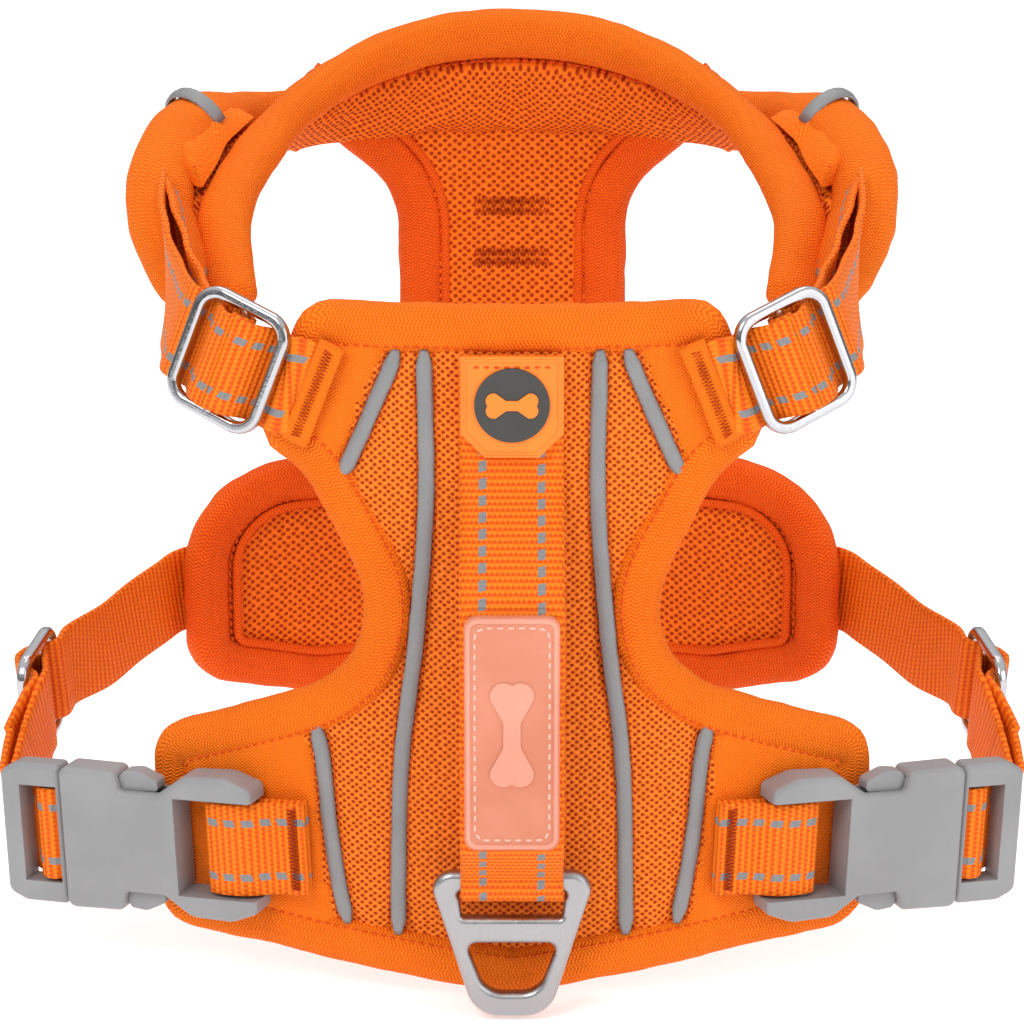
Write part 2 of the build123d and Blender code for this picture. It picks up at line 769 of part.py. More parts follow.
def strap_loop_path():
    """Centre line, in the buckle's XZ plane, of the webbing round the male half's bar."""
    (_, b), (c, d) = male_slots()
    t = webbing_thickness
    over = buckle_bar_thickness / 2 + soft_gap + t / 2
    rail = -male_depth / 2 - soft_gap - t / 2
    under = rail - t - 2 * soft_gap
    end = buckle_length + 3.4
    return [
        (end, rail - 2.3), (end - 2.6, rail - 0.5), (d + 0.3, rail - 0.3), (d - 2.5, rail + 1.4), (c + 1.75, 1.6),
        (c - 0.75, over + 0.3), (b + 1.05, over + 0.3), (b - 1.55, 1.7), (b - 1.55, -2.2), (b + 1.4, rail - 0.2),
        (d + 0.3, under), (end - 3.2, under - 0.3), (end - 0.9, under - 2.1),
    ]


def strap_loop_ends(gap):
    """Where the belly strap's two runs begin, a gap beyond the ends of the loop."""
    path = strap_loop_path()
    ends = []
    for tip, before in ((path[0], path[1]), (path[-1], path[-2])):
        run = math.hypot(tip[0] - before[0], tip[1] - before[1])
        x = tip[0] + (tip[0] - before[0]) / run * gap
        z = tip[1] + (tip[1] - before[1]) / run * gap
        ends.append((x, 0, z))
    return ends


def panel_loop_path():
    """Centre line, in the buckle's XZ plane, of the webbing that sews the female half to the panel."""
    turn = buckle_bar_thickness / 2 + soft_gap + webbing_thickness / 2
    end = female_bar_start + female_bar
    low = -turn - 0.9
    return [
        (-8.0, low), (female_bar_start - 3.0, -turn), (end - 0.6, -turn), (end + 1.3, -turn * 0.6),
        (end + 1.3, turn * 0.6), (end - 0.6, turn), (female_bar_start - 3.0, turn),
        (-3.0, low + webbing_thickness + soft_gap + 0.4), (-8.0, low + webbing_thickness + soft_gap),
    ]


def local_band(path):
    """Webbing in the buckle's own frame, from its centre line in XZ."""
    face = polygon(thick_line(path, webbing_thickness))
    return extrude(face, amount=webbing_width / 2, both=True)


def make_buckles(nodes):
    plane = buckle_plane()
    upper = prong()
    both_sides(nodes, "buckle_female", plane * female_half())
    both_sides(nodes, "buckle_male", plane * male_half())
    both_sides(nodes, "buckle_prong_upper", plane * upper)
    both_sides(nodes, "buckle_prong_lower", plane * mirror(upper, about=Plane.XZ))
    both_sides(nodes, "male_strap_loop", plane * local_band(strap_loop_path()))
    both_sides(nodes, "buckle_webbing", plane * local_band(panel_loop_path()))


def main():
    nodes = {}
    make_back(nodes)
    make_handle(nodes)
    make_flap(nodes)
    make_rings(nodes)
    make_yoke(nodes)
    make_chest(nodes)
    make_slides(nodes)
    make_shoulder_straps(nodes)
    make_belly_straps(nodes)
    make_buckles(nodes)
    os.makedirs("parts", exist_ok=True)
    for name, shape in nodes.items():
        export_step(shape, "parts/" + name + ".step")
    print(len(nodes), "nodes")


main()
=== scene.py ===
import math
import random

import bmesh
import bpy
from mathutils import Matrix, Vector, noise
from mathutils.geometry import delaunay_2d_cdt
from mathutils.kdtree import KDTree


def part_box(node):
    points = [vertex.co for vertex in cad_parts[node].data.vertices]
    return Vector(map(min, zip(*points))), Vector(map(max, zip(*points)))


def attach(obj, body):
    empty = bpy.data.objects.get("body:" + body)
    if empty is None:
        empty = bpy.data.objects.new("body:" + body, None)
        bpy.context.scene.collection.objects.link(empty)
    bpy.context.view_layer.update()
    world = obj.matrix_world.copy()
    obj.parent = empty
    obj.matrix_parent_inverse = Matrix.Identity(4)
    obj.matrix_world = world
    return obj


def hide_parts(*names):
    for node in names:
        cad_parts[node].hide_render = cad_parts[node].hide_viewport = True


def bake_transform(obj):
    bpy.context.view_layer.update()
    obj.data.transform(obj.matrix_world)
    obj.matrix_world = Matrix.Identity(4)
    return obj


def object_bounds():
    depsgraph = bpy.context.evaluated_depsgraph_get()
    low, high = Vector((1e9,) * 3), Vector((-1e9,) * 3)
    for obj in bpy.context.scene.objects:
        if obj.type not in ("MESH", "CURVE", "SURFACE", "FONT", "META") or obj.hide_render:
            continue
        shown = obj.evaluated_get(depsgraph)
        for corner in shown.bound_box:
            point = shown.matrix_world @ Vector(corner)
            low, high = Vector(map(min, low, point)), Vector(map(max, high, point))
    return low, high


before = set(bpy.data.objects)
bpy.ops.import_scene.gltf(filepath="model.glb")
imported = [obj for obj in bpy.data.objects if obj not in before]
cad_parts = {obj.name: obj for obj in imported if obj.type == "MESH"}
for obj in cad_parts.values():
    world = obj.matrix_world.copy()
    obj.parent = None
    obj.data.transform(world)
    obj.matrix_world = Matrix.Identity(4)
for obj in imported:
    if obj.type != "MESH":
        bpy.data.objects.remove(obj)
cad_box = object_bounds()
random.seed(11)

MM = 0.001
X = Vector((1, 0, 0))
Z = Vector((0, 0, 1))

# ---- Sizes shared with the frame, in millimetres ----
BACK_RADIUS = 185.0
BACK_AXIS = 105.0
CHEST_RADIUS = 150.0
CHEST_AXIS = -66.0
PANEL_MIDDLE = -2.5
CHEST_MIDDLE = 3.0
BINDING = 12.0
WEBBING = 25.0
BACK_BAR = (-89.7, -72.5)
FRONT_BAR = (97.3, 52.0)

BACK_OUTLINE = [
    (0, 73.5), (52, 73.5), (65, 38), (52, 29.5), (27, -17.5),
    (94.5, -43.5), (94.5, -96.5), (62, -98), (0, -107.5),
]
BACK_RADII = [0, 9, 7, 14, 25, 12, 11, 60, 0]
CHEST_OUTLINE = [(62, 101), (32, 74), (32, -4), (93, -4), (93, -64.5), (60, -74.5), (0, -74.5)]
CHEST_RADII = [0, 22, 12, 29, 16, 30, 0]
STATIONS = [
    ((0, 72, 121), (0, 87, 91)), ((22, 70, 119), (28, 84.5, 90)), ((42, 62, 113), (52, 78, 89)),
    ((60, 47, 103), (74, 66, 88)), ((71, 28, 92), (90, 46, 92)), ((77, 8, 80), (100, 24, 85)),
    ((75, -9, 66), (97, 6, 67)), ((73, -18, 58.5), (92, -5, 61)),
]


# ---- Lines ----
def smooth_line(points, step=1.2, closed=False, values=None):
    """Evenly spaced points on a smooth line through the given ones, with values carried along."""
    pts = [Vector(p) for p in points]
    n = len(pts)
    vals = [Vector(v) for v in values] if values else pts
    spans = n if closed else n - 1
    dense, carried = [], []
    for i in range(spans):
        b, c = pts[i], pts[(i + 1) % n]
        a = pts[(i - 1) % n] if closed or i else b * 2 - c
        d = pts[(i + 2) % n] if closed or i + 2 < n else c * 2 - b
        t0 = 0.0
        t1 = t0 + max((b - a).length, 1e-4) ** 0.5
        t2 = t1 + max((c - b).length, 1e-4) ** 0.5
        t3 = t2 + max((d - c).length, 1e-4) ** 0.5
        count = max(2, int((c - b).length / step * 2))
        for k in range(count):
            f = k / count
            t = t1 + (t2 - t1) * f
            a1 = a * ((t1 - t) / (t1 - t0)) + b * ((t - t0) / (t1 - t0))
            a2 = b * ((t2 - t) / (t2 - t1)) + c * ((t - t1) / (t2 - t1))
            a3 = c * ((t3 - t) / (t3 - t2)) + d * ((t - t2) / (t3 - t2))
            b1 = a1 * ((t2 - t) / (t2 - t0)) + a2 * ((t - t0) / (t2 - t0))
            b2 = a2 * ((t3 - t) / (t3 - t1)) + a3 * ((t - t1) / (t3 - t1))
            dense.append(b1 * ((t2 - t) / (t2 - t1)) + b2 * ((t - t1) / (t2 - t1)))
            carried.append(vals[i].lerp(vals[(i + 1) % n], f * f * (3 - 2 * f)))
    if not closed:
        dense.append(pts[-1])
        carried.append(vals[-1])
    line, kept = resample(dense, step, closed, carried)
    return (line, kept) if values else line


def resample(points, step, closed=False, values=None):
    pts = [Vector(p) for p in points]
    vals = list(values) if values else list(pts)
    if closed:
        pts.append(pts[0])
        vals.append(vals[0])
    lengths = [0.0]
    for a, b in zip(pts, pts[1:]):
        lengths.append(lengths[-1] + (b - a).length)
    count = max(2, round(lengths[-1] / step))
    line, kept, j = [], [], 0
    for k in range(count if closed else count + 1):
        at = lengths[-1] * k / count
        while j < len(pts) - 2 and lengths[j + 1] < at:
            j += 1
        f = (at - lengths[j]) / max(lengths[j + 1] - lengths[j], 1e-9)
        line.append(pts[j].lerp(pts[j + 1], f))
        kept.append(vals[j].lerp(vals[j + 1], f))
    return line, kept


def rounded(points, radii, closed=False):
    """Points along a flat outline with rounded corners."""
    pts = [Vector(p) for p in points]
    n = len(pts)
    line = []
    for i, here in enumerate(pts):
        if radii[i] == 0 or (not closed and i in (0, n - 1)):
            line.append(here)
            continue
        a = (pts[i - 1] - here).normalized()
        b = (pts[(i + 1) % n] - here).normalized()
        half = a.angle(b) / 2
        centre = here + (a + b).normalized() * (radii[i] / math.sin(half))
        start = here + a * (radii[i] / math.tan(half)) - centre
        end = here + b * (radii[i] / math.tan(half)) - centre
        turn = math.pi - 2 * half
        for k in range(9):
            t = k / 8
            ray = start * math.sin((1 - t) * turn) + end * math.sin(t * turn)
            line.append(centre + ray / math.sin(turn))
    return line


def mirror_outline(right):
    """A closed outline from its right half, listed from top centre to bottom centre."""
    return right + [Vector((-p.x, p.y)) for p in reversed(right) if p.x > 1e-6]


def inset(points, distance, closed=True, relax=4):
    """A flat line moved to its right-hand side, and evened out."""
    n = len(points)
    moved = []
    for i, p in enumerate(points):
        before = points[(i - 1) % n] if closed else points[max(i - 1, 0)]
        after = points[(i + 1) % n] if closed else points[min(i + 1, n - 1)]
        run = (after - before).normalized()
        moved.append(p + Vector((run.y, -run.x)) * distance)
    for _ in range(relax):
        ends = (moved[0], moved[-1])
        moved = [(moved[i - 1] + moved[i] * 2 + moved[(i + 1) % n]) / 4 for i in range(n)]
        if not closed:
            moved[0], moved[-1] = ends
    return moved


def back_point(x, z, height=0.0):
    angle = math.asin(x / BACK_RADIUS)
    out = Vector((math.sin(angle), -math.cos(angle), 0))
    return Vector((0, BACK_AXIS, z)) + out * (BACK_RADIUS + height), out


def chest_point(x, z, height=0.0):
    angle = math.asin(x / CHEST_RADIUS)
    out = Vector((math.sin(angle), math.cos(angle), 0))
    return Vector((0, CHEST_AXIS, z)) + out * (CHEST_RADIUS + height), out


def lay(flat, surface, height):
    """Points and outward directions of a flat line laid on a curved surface."""
    placed = [surface(p.x, p.y, height) for p in flat]
    return [p for p, out in placed], [out for p, out in placed]


# ---- Meshes ----
def pillow(width, thickness, power=2.4, count=24):
    """A soft rounded section."""
    section = []
    for k in range(count):
        a = 2 * math.pi * k / count
        c, s = math.cos(a), math.sin(a)
        u = math.copysign(abs(c) ** (2 / power), c) * width / 2
        v = math.copysign(abs(s) ** (2 / power), s) * thickness / 2
        section.append((u, v))
    return section


def flat_section(width, thickness, columns=8):
    """A webbing section: flat faces and rounded edges."""
    top = []
    for k in range(columns + 1):
        u = -width / 2 + 0.4 + (width - 0.8) * k / columns
        top.append((u, thickness / 2))
    return top + [(width / 2, 0.0)] + [(u, -v) for u, v in reversed(top)] + [(-width / 2, 0.0)]


def link_object(name, mesh, material):
    obj = bpy.data.objects.new(name, mesh)
    bpy.context.scene.collection.objects.link(obj)
    if material:
        mesh.materials.append(material)
    mesh.polygons.foreach_set("use_smooth", [True] * len(mesh.polygons))
    return obj


def make_mesh(name, verts, faces, material, uvs=None):
    mesh = bpy.data.meshes.new(name)
    mesh.from_pydata([Vector(v) * MM for v in verts], [], faces)
    if uvs:
        layer = mesh.uv_layers.new(name="UVMap")
        for i, uv in enumerate(uvs):
            layer.data[i].uv = (uv[0] * MM, uv[1] * MM)
    bm = bmesh.new()
    bm.from_mesh(mesh)
    bmesh.ops.recalc_face_normals(bm, faces=bm.faces)
    bm.to_mesh(mesh)
    bm.free()
    return link_object(name, mesh, material)


def sweep_parts(centres, acrosses, section, closed=False, scale=None, around=False):
    """Vertices, faces and UVs of a section carried along a line. UVs are millimetres along and across."""
    n, m = len(centres), len(section)
    verts, faces, uvs = [], [], []
    along = [0.0]
    perimeter = [0.0]
    for i in range(m):
        a, b = Vector(section[i]), Vector(section[(i + 1) % m])
        perimeter.append(perimeter[-1] + (b - a).length)
    for i, centre in enumerate(centres):
        before = centres[(i - 1) % n] if closed else centres[max(i - 1, 0)]
        after = centres[(i + 1) % n] if closed else centres[min(i + 1, n - 1)]
        tangent = (after - before).normalized()
        out = tangent.cross(acrosses[i]).normalized()
        across = out.cross(tangent)
        size = scale(i) if scale else 1.0
        verts += [centre + across * (u * size) + out * (v * size) for u, v in section]
        along.append(along[-1] + (centres[(i + 1) % n] - centre).length)
    for i in range(n if closed else n - 1):
        j = (i + 1) % n
        for k in range(m):
            l = (k + 1) % m
            faces.append([i * m + k, i * m + l, j * m + l, j * m + k])
            v0 = perimeter[k] if around else section[k][0]
            v1 = perimeter[k + 1] if around else section[l][0]
            uvs += [(along[i], v0), (along[i], v1), (along[i + 1], v1), (along[i + 1], v0)]
    if not closed:
        for i, order in ((0, range(m - 1, -1, -1)), (n - 1, range(m))):
            faces.append([i * m + k for k in order])
            uvs += [(along[i], section[k][0]) for k in order]
    return verts, faces, uvs


def sweep(name, centres, acrosses, section, material, **options):
    verts, faces, uvs = sweep_parts(centres, acrosses, section, **options)
    return make_mesh(name, verts, faces, material, uvs)


def rumple(obj, amount, size, seed=0.0):
    """Uneven fabric: moves each vertex along its normal by smooth noise."""
    mesh = obj.data
    shift = Vector((seed, seed * 0.7, 3.1 + seed))
    moves = []
    for v in mesh.vertices:
        wave = noise.noise(v.co / MM / size + shift) + 0.5 * noise.noise(v.co / MM / size * 2.3 + shift)
        moves.append(v.co + v.normal * (wave * amount * MM))
    for v, co in zip(mesh.vertices, moves):
        v.co = co
    return obj


def strap_line(route, step=1.2, relax=2):
    line, across = smooth_line([r[0] for r in route], step, values=[r[1] for r in route])
    for _ in range(relax):
        line = [line[0]] + [(a + b * 2 + c) / 4 for a, b, c in zip(line, line[1:], line[2:])] + [line[-1]]
    return line, across


def strap(name, route, material, width=WEBBING, thickness=1.6, relax=2):
    line, across = strap_line(route, relax=relax)
    return sweep(name, line, across, flat_section(width, thickness), material)


def fill_outline(rim, inside):
    """Flat points and triangles that fill an outline."""
    edges = [(i, (i + 1) % len(rim)) for i in range(len(rim))]
    points, _, faces, _, _, _ = delaunay_2d_cdt(rim + inside, edges, [], 1, 1e-4)
    return points, faces


def patch(name, outline, surface, base, thickness, material, edge=2.0, grid=2.2, bulge=0.0):
    """A sewn-on piece of cloth over a curved surface, turned down at its edges."""
    rim, _ = resample([Vector(p) for p in outline], 1.6, True)
    inside = []
    xs, zs = [p.x for p in rim], [p.y for p in rim]
    x = min(xs)
    while x < max(xs):
        z = min(zs)
        while z < max(zs):
            p = Vector((x + random.uniform(-0.3, 0.3), z + random.uniform(-0.3, 0.3)))
            if inside_outline(p, rim) and edge_distance(p, rim) > 0.8:
                inside.append(p)
            z += grid
        x += grid
    points, faces = fill_outline(rim, inside)
    verts, flat = [], []
    for p in points:
        d = edge_distance(p, rim)
        f = min(d / edge, 1.0)
        crown = bulge * (1 - math.exp(-d / 6.0))
        height = base - 0.8 + (thickness + 0.8) * math.sqrt(1 - (1 - f) ** 2) + crown
        verts.append(surface(p.x, p.y, height)[0])
        flat.append((p.x, p.y))
    uvs = [flat[i] for face in faces for i in face]
    return make_mesh(name, verts, [list(f) for f in faces], material, uvs)


def cushion(name, outline, surface, low, high, grid=2.7, edge=3.0):
    """A closed thin pad between two heights over a curved surface, as an even grid of triangles."""
    rim, _ = resample([Vector(p) for p in outline], grid, True)
    n = len(rim)
    inside = []
    xs, zs = [p.x for p in rim], [p.y for p in rim]
    near = KDTree(n)
    for i, p in enumerate(rim):
        near.insert((p.x, p.y, 0), i)
    near.balance()
    rows = int((max(zs) - min(zs)) / (grid * 0.87))
    for row in range(rows):
        x = min(xs) + (row % 2) * grid / 2
        while x < max(xs):
            p = Vector((x, min(zs) + row * grid * 0.87))
            if near.find((p.x, p.y, 0))[2] > grid * 0.7 and inside_outline(p, rim):
                inside.append(p)
            x += grid
    points, faces = fill_outline(rim, inside)
    middle = (low + high) / 2
    verts = []
    for way in (1, -1):
        for p in points:
            f = min(near.find((p.x, p.y, 0))[2] / edge, 1.0)
            height = middle + way * (high - low) / 2 * (0.35 + 0.65 * math.sqrt(1 - (1 - f) ** 2))
            verts.append(surface(p.x, p.y, height)[0])
    count = len(points)
    used = {}
    for face in faces:
        for a, b in zip(face, list(face[1:]) + [face[0]]):
            used[(a, b)] = True
    shell = [list(f) for f in faces] + [[i + count for i in reversed(f)] for f in faces]
    shell += [[b, a, a + count, b + count] for a, b in used if (b, a) not in used]
    return make_mesh(name, verts, shell, None)


def edge_distance(p, rim):
    best = 1e9
    for i, a in enumerate(rim):
        b = rim[(i + 1) % len(rim)]
        run = b - a
        t = max(0.0, min(1.0, (p - a).dot(run) / max(run.length_squared, 1e-9)))
        best = min(best, (p - a - run * t).length)
    return best


def inside_outline(p, rim):
    hit = False
    for i, a in enumerate(rim):
        b = rim[(i + 1) % len(rim)]
        if (a.y > p.y) != (b.y > p.y) and p.x < (b.x - a.x) * (p.y - a.y) / (b.y - a.y) + a.x:
            hit = not hit
    return hit


# Along the stitch, its size there, and how far it stands off the cloth
STITCH = ((-0.5, 0.45, -0.25), (-0.3, 1.0, 0.02), (0.3, 1.0, 0.02), (0.5, 0.45, -0.25))


def stitches(name, lines, material, pitch=2.6, length=1.9, radius=0.32):
    """Thread stitches laid along lines of (points, outward directions)."""
    verts, faces = [], []
    for points, outs in lines:
        line, normals = resample(points, pitch, False, outs)
        for a, b, out in zip(line, line[1:], normals):
            run = (b - a).normalized()
            side = run.cross(out).normalized()
            up = side.cross(run)
            middle = (a + b) / 2
            first = len(verts)
            for t, size, lift in STITCH:
                for k in range(6):
                    c = math.cos(k * math.pi / 3) * radius * size
                    s = math.sin(k * math.pi / 3) * radius * size
                    verts.append(middle + run * (t * length) + side * c + up * (s + lift))
            for ring in range(first, first + 18, 6):
                for k in range(6):
                    l = (k + 1) % 6
                    faces.append([ring + k, ring + l, ring + 6 + l, ring + 6 + k])
            faces.append([first + k for k in range(5, -1, -1)])
            faces.append([first + 18 + k for k in range(6)])
    return make_mesh(name, verts, faces, material)


def tacks(name, rows, material, pitch=1.0, radius=0.3):
    """Dense zigzag bar tacks: each row is (start, end, direction across, outward)."""
    verts, faces = [], []
    for start, end, across, out in rows:
        count = int((end - start).length / pitch)
        line = []
        for k in range(count * 2 + 1):
            way = 1 if k % 2 else -1
            line.append(start.lerp(end, k / (count * 2)) + across * (way * 1.1))
        v, f, _ = sweep_parts(line, [out] * len(line), pillow(radius * 2, radius * 2, 2, 6))
        faces += [[i + len(verts) for i in face] for face in f]
        verts += v
    return make_mesh(name, verts, faces, material)


def flip(points):
    return [Vector((-p.x, p.y, p.z)) for p in points]


def dress(obj, nodes=(), body="root"):
    if nodes:
        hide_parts(*nodes)
    if body:
        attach(obj, body)
    return obj


# ---- Materials ----
class Graph:
    """A small helper that builds one node material."""

    def __init__(self, name, colour, roughness, **shader):
        self.material = bpy.data.materials.new(name)
        self.material.use_nodes = True
        self.tree = self.material.node_tree
        self.shader = self.tree.nodes["Principled BSDF"]
        self.put(self.shader.inputs["Base Color"], colour)
        self.put(self.shader.inputs["Roughness"], roughness)
        for key, value in shader.items():
            self.shader.inputs[key.replace("_", " ")].default_value = value

    def put(self, socket, value):
        if isinstance(value, bpy.types.NodeSocket):
            self.tree.links.new(value, socket)
        elif isinstance(value, tuple) and len(value) == 3 and socket.type == "RGBA":
            socket.default_value = (*value, 1.0)
        else:
            socket.default_value = value

    def node(self, kind, inputs=(), **settings):
        made = self.tree.nodes.new(kind)
        for key, value in settings.items():
            setattr(made, key, value)
        for key, value in dict(inputs).items():
            self.put(made.inputs[key], value)
        return made

    def math(self, operation, a, b=0.5, c=0.5):
        return self.node("ShaderNodeMath", {0: a, 1: b, 2: c}, operation=operation).outputs[0]

    def mix(self, factor, a, b):
        made = self.node("ShaderNodeMix", {0: factor, 6: a, 7: b}, data_type="RGBA")
        return made.outputs[2]

    def ramp(self, value, low, high, start=0.0, stop=1.0):
        made = self.node("ShaderNodeMapRange", {0: value, 1: low, 2: high, 3: start, 4: stop})
        made.interpolation_type = "SMOOTHSTEP"
        return made.outputs[0]

    def uv(self):
        return self.node("ShaderNodeUVMap", uv_map="UVMap").outputs[0]

    def along_across(self):
        split = self.node("ShaderNodeSeparateXYZ", {0: self.uv()})
        return split.outputs[0], split.outputs[1]

    def object_space(self):
        return self.node("ShaderNodeTexCoord").outputs["Object"]

    def noise(self, vector, scale, detail=3.0):
        made = self.node("ShaderNodeTexNoise", {"Vector": vector, "Scale": scale, "Detail": detail})
        return made.outputs[0]

    def wave(self, value, pitch_mm):
        return self.math("SINE", self.math("MULTIPLY", value, 2 * math.pi / (pitch_mm * MM)))

    def bump(self, height, distance_mm, strength=1.0):
        inputs = {"Strength": strength, "Distance": distance_mm * MM, "Height": height}
        made = self.node("ShaderNodeBump", inputs)
        self.put(self.shader.inputs["Normal"], made.outputs[0])


ORANGE = (1.0, 0.175, 0.003)
DEEP = (0.72, 0.07, 0.001)
LIGHT = (1.0, 0.255, 0.008)
GREY = (0.25, 0.25, 0.255)


def webbing_material(name, dashes):
    g = Graph(name, ORANGE, 0.62, Sheen_Weight=0.05, Specular_IOR_Level=0.2)
    g.shader.inputs["Sheen Tint"].default_value = (1.0, 0.35, 0.05, 1.0)
    u, v = g.along_across()
    rib = g.ramp(g.wave(u, 1.75), -1.0, 0.6)
    yarn = g.wave(v, 1.3)
    weave = g.math("MULTIPLY", g.wave(u, 3.5), yarn)
    height = g.math("ADD", g.math("MULTIPLY", rib, 0.7), g.math("MULTIPLY", weave, 0.3))
    fuzz = g.noise(g.object_space(), 900.0)
    # The colour follows the weave's height: painted shade in the grooves and painted highlight on the rib
    # crests, with random fibre fuzz on top.
    tone = g.math("ADD", g.math("MULTIPLY", height, 0.8), g.math("MULTIPLY", fuzz, 0.3))
    colour = g.mix(tone, DEEP, LIGHT)
    if dashes:
        slanted = g.math("ADD", u, g.math("MULTIPLY", v, 0.25))
        run = g.math("FRACT", g.math("MULTIPLY", slanted, 1 / (4.6 * MM)))
        column = g.math("ABSOLUTE", g.math("SUBTRACT", g.math("ABSOLUTE", v), dashes * MM))
        inside = g.math("LESS_THAN", column, 0.95 * MM)
        mask = g.math("MULTIPLY", inside, g.math("LESS_THAN", run, 0.62))
        colour = g.mix(mask, colour, GREY)
    g.put(g.shader.inputs["Base Color"], colour)
    g.bump(g.math("ADD", height, g.math("MULTIPLY", fuzz, 0.25)), 0.35)
    return g.material


def binding_material(name, dark, bright):
    g = Graph(name, ORANGE, 0.72, Sheen_Weight=0.05, Specular_IOR_Level=0.18)
    g.shader.inputs["Sheen Tint"].default_value = (1.0, 0.33, 0.05, 1.0)
    u, v = g.along_across()
    zig = g.math("PINGPONG", v, 1.6 * MM)
    rib = g.wave(g.math("ADD", u, g.math("MULTIPLY", zig, 0.55)), 0.95)
    knot = g.wave(v, 0.8)
    cloud = g.noise(g.object_space(), 60.0)
    height = g.math("ADD", rib, g.math("MULTIPLY", knot, 0.35))
    # The colour follows the rib height: painted shade in the grooves and painted highlight on the ribs, with
    # random cloud tone on top.
    tone = g.math("ADD", g.ramp(height, -1.4, 0.9), g.math("MULTIPLY", g.math("SUBTRACT", cloud, 0.5), 0.5))
    g.put(g.shader.inputs["Base Color"], g.mix(tone, dark, bright))
    g.bump(height, 0.15)
    return g.material


def mesh_material(name, pitch, hole, bright):
    g = Graph(name, ORANGE, 0.75, Sheen_Weight=0.05, Specular_IOR_Level=0.2)
    g.shader.inputs["Sheen Tint"].default_value = (1.0, 0.35, 0.05, 1.0)
    uv = g.uv()
    quarter = (0.0, 0.0, math.radians(45))
    turned = g.node("ShaderNodeMapping", {"Vector": uv, "Rotation": quarter, "Scale": (1.0, 1.18, 1.0)})
    inputs = {"Vector": turned.outputs[0], "Scale": 1 / (pitch * MM), "Randomness": 0.22}
    cells = g.node("ShaderNodeTexVoronoi", inputs)
    cells.voronoi_dimensions = "2D"
    distance = cells.outputs["Distance"]
    strand = g.ramp(distance, hole - 0.10, hole + 0.10)
    ridge = g.ramp(distance, hole, 0.70)
    fuzz = g.noise(g.object_space(), 700.0, 4.0)
    cloud = g.noise(g.object_space(), 35.0)
    # Strands get lighter towards their crests, away from the holes: a painted highlight, with random fuzz
    # tone on top.
    light = g.math("ADD", g.math("MULTIPLY", ridge, 0.6), g.math("MULTIPLY", fuzz, 0.5))
    thread = g.mix(light, (0.98, 0.16, 0.002), bright)
    # The holes get a dark colour: painted shade in the mesh's openings, varied by random cloud tone.
    depth = g.mix(g.math("MULTIPLY", cloud, 0.6), (0.36, 0.018, 0.0), (0.60, 0.05, 0.001))
    g.put(g.shader.inputs["Base Color"], g.mix(strand, depth, thread))
    relief = g.math("ADD", g.math("MULTIPLY", ridge, 0.6), g.math("MULTIPLY", fuzz, 0.35))
    g.bump(g.math("ADD", strand, relief), 0.55)
    return g.material


def twill_material():
    g = Graph("twill_patch", ORANGE, 0.7, Sheen_Weight=0.05, Specular_IOR_Level=0.2)
    g.shader.inputs["Sheen Tint"].default_value = (1.0, 0.33, 0.05, 1.0)
    u, v = g.along_across()
    zig = g.math("PINGPONG", u, 2.4 * MM)
    line = g.wave(g.math("ADD", v, g.math("MULTIPLY", zig, 0.8)), 0.85)
    fine = g.wave(u, 0.7)
    cloud = g.noise(g.object_space(), 45.0)
    height = g.math("ADD", line, g.math("MULTIPLY", fine, 0.3))
    # The colour follows the twill height: painted shade in the grooves and painted highlight on the twill
    # lines, with random cloud tone on top.
    tone = g.math("ADD", g.ramp(height, -1.3, 1.0), g.math("MULTIPLY", g.math("SUBTRACT", cloud, 0.5), 0.5))
    g.put(g.shader.inputs["Base Color"], g.mix(tone, (0.88, 0.12, 0.001), (1.0, 0.225, 0.006)))
    g.bump(height, 0.10)
    return g.material


def reflective_material():
    g = Graph("reflective_tape", GREY, 0.42, Metallic=0.25)
    place = g.object_space()
    grain = g.noise(place, 2600.0, 2.0)
    cloud = g.noise(place, 90.0)
    tone = g.math("ADD", g.math("MULTIPLY", grain, 0.6), g.math("MULTIPLY", cloud, 0.4))
    g.put(g.shader.inputs["Base Color"], g.mix(tone, (0.17, 0.17, 0.175), (0.32, 0.32, 0.325)))
    g.put(g.shader.inputs["Roughness"], g.ramp(grain, 0.2, 0.8, 0.35, 0.6))
    g.bump(grain, 0.12)
    return g.material


def moulded_material(name, low, high, roughness, grain_mm=0.05, **shader):
    """Moulded plastic or rubber: a fine grain, soft tone variation and rubbed patches."""
    g = Graph(name, high, roughness, **shader)
    place = g.object_space()
    grain = g.noise(place, 1800.0, 2.0)
    cloud = g.noise(place, 40.0)
    g.put(g.shader.inputs["Base Color"], g.mix(g.ramp(cloud, 0.3, 0.7), low, high))
    g.put(g.shader.inputs["Roughness"], g.ramp(cloud, 0.3, 0.7, roughness - 0.07, roughness + 0.08))
    g.bump(grain, grain_mm)
    return g.material


def metal_material(name, colour, smooth, rough, brushed):
    g = Graph(name, colour, rough, Metallic=1.0)
    place = g.object_space()
    stretched = g.node("ShaderNodeMapping", {"Vector": place, "Scale": brushed}).outputs[0]
    lines = g.noise(stretched, 900.0, 3.0)
    smudge = g.noise(place, 70.0)
    wear = g.math("ADD", g.math("MULTIPLY", lines, 0.5), g.math("MULTIPLY", smudge, 0.5))
    g.put(g.shader.inputs["Roughness"], g.ramp(wear, 0.3, 0.7, smooth, rough))
    darker = tuple(c * 0.86 for c in colour)
    g.put(g.shader.inputs["Base Color"], g.mix(lines, darker, colour))
    g.bump(lines, 0.02)
    return g.material


def thread_material(name, low, high):
    g = Graph(name, high, 0.6, Sheen_Weight=0.05, Specular_IOR_Level=0.2)
    twist = g.noise(g.object_space(), 2500.0, 2.0)
    g.put(g.shader.inputs["Base Color"], g.mix(twist, low, high))
    g.bump(twist, 0.1)
    return g.material


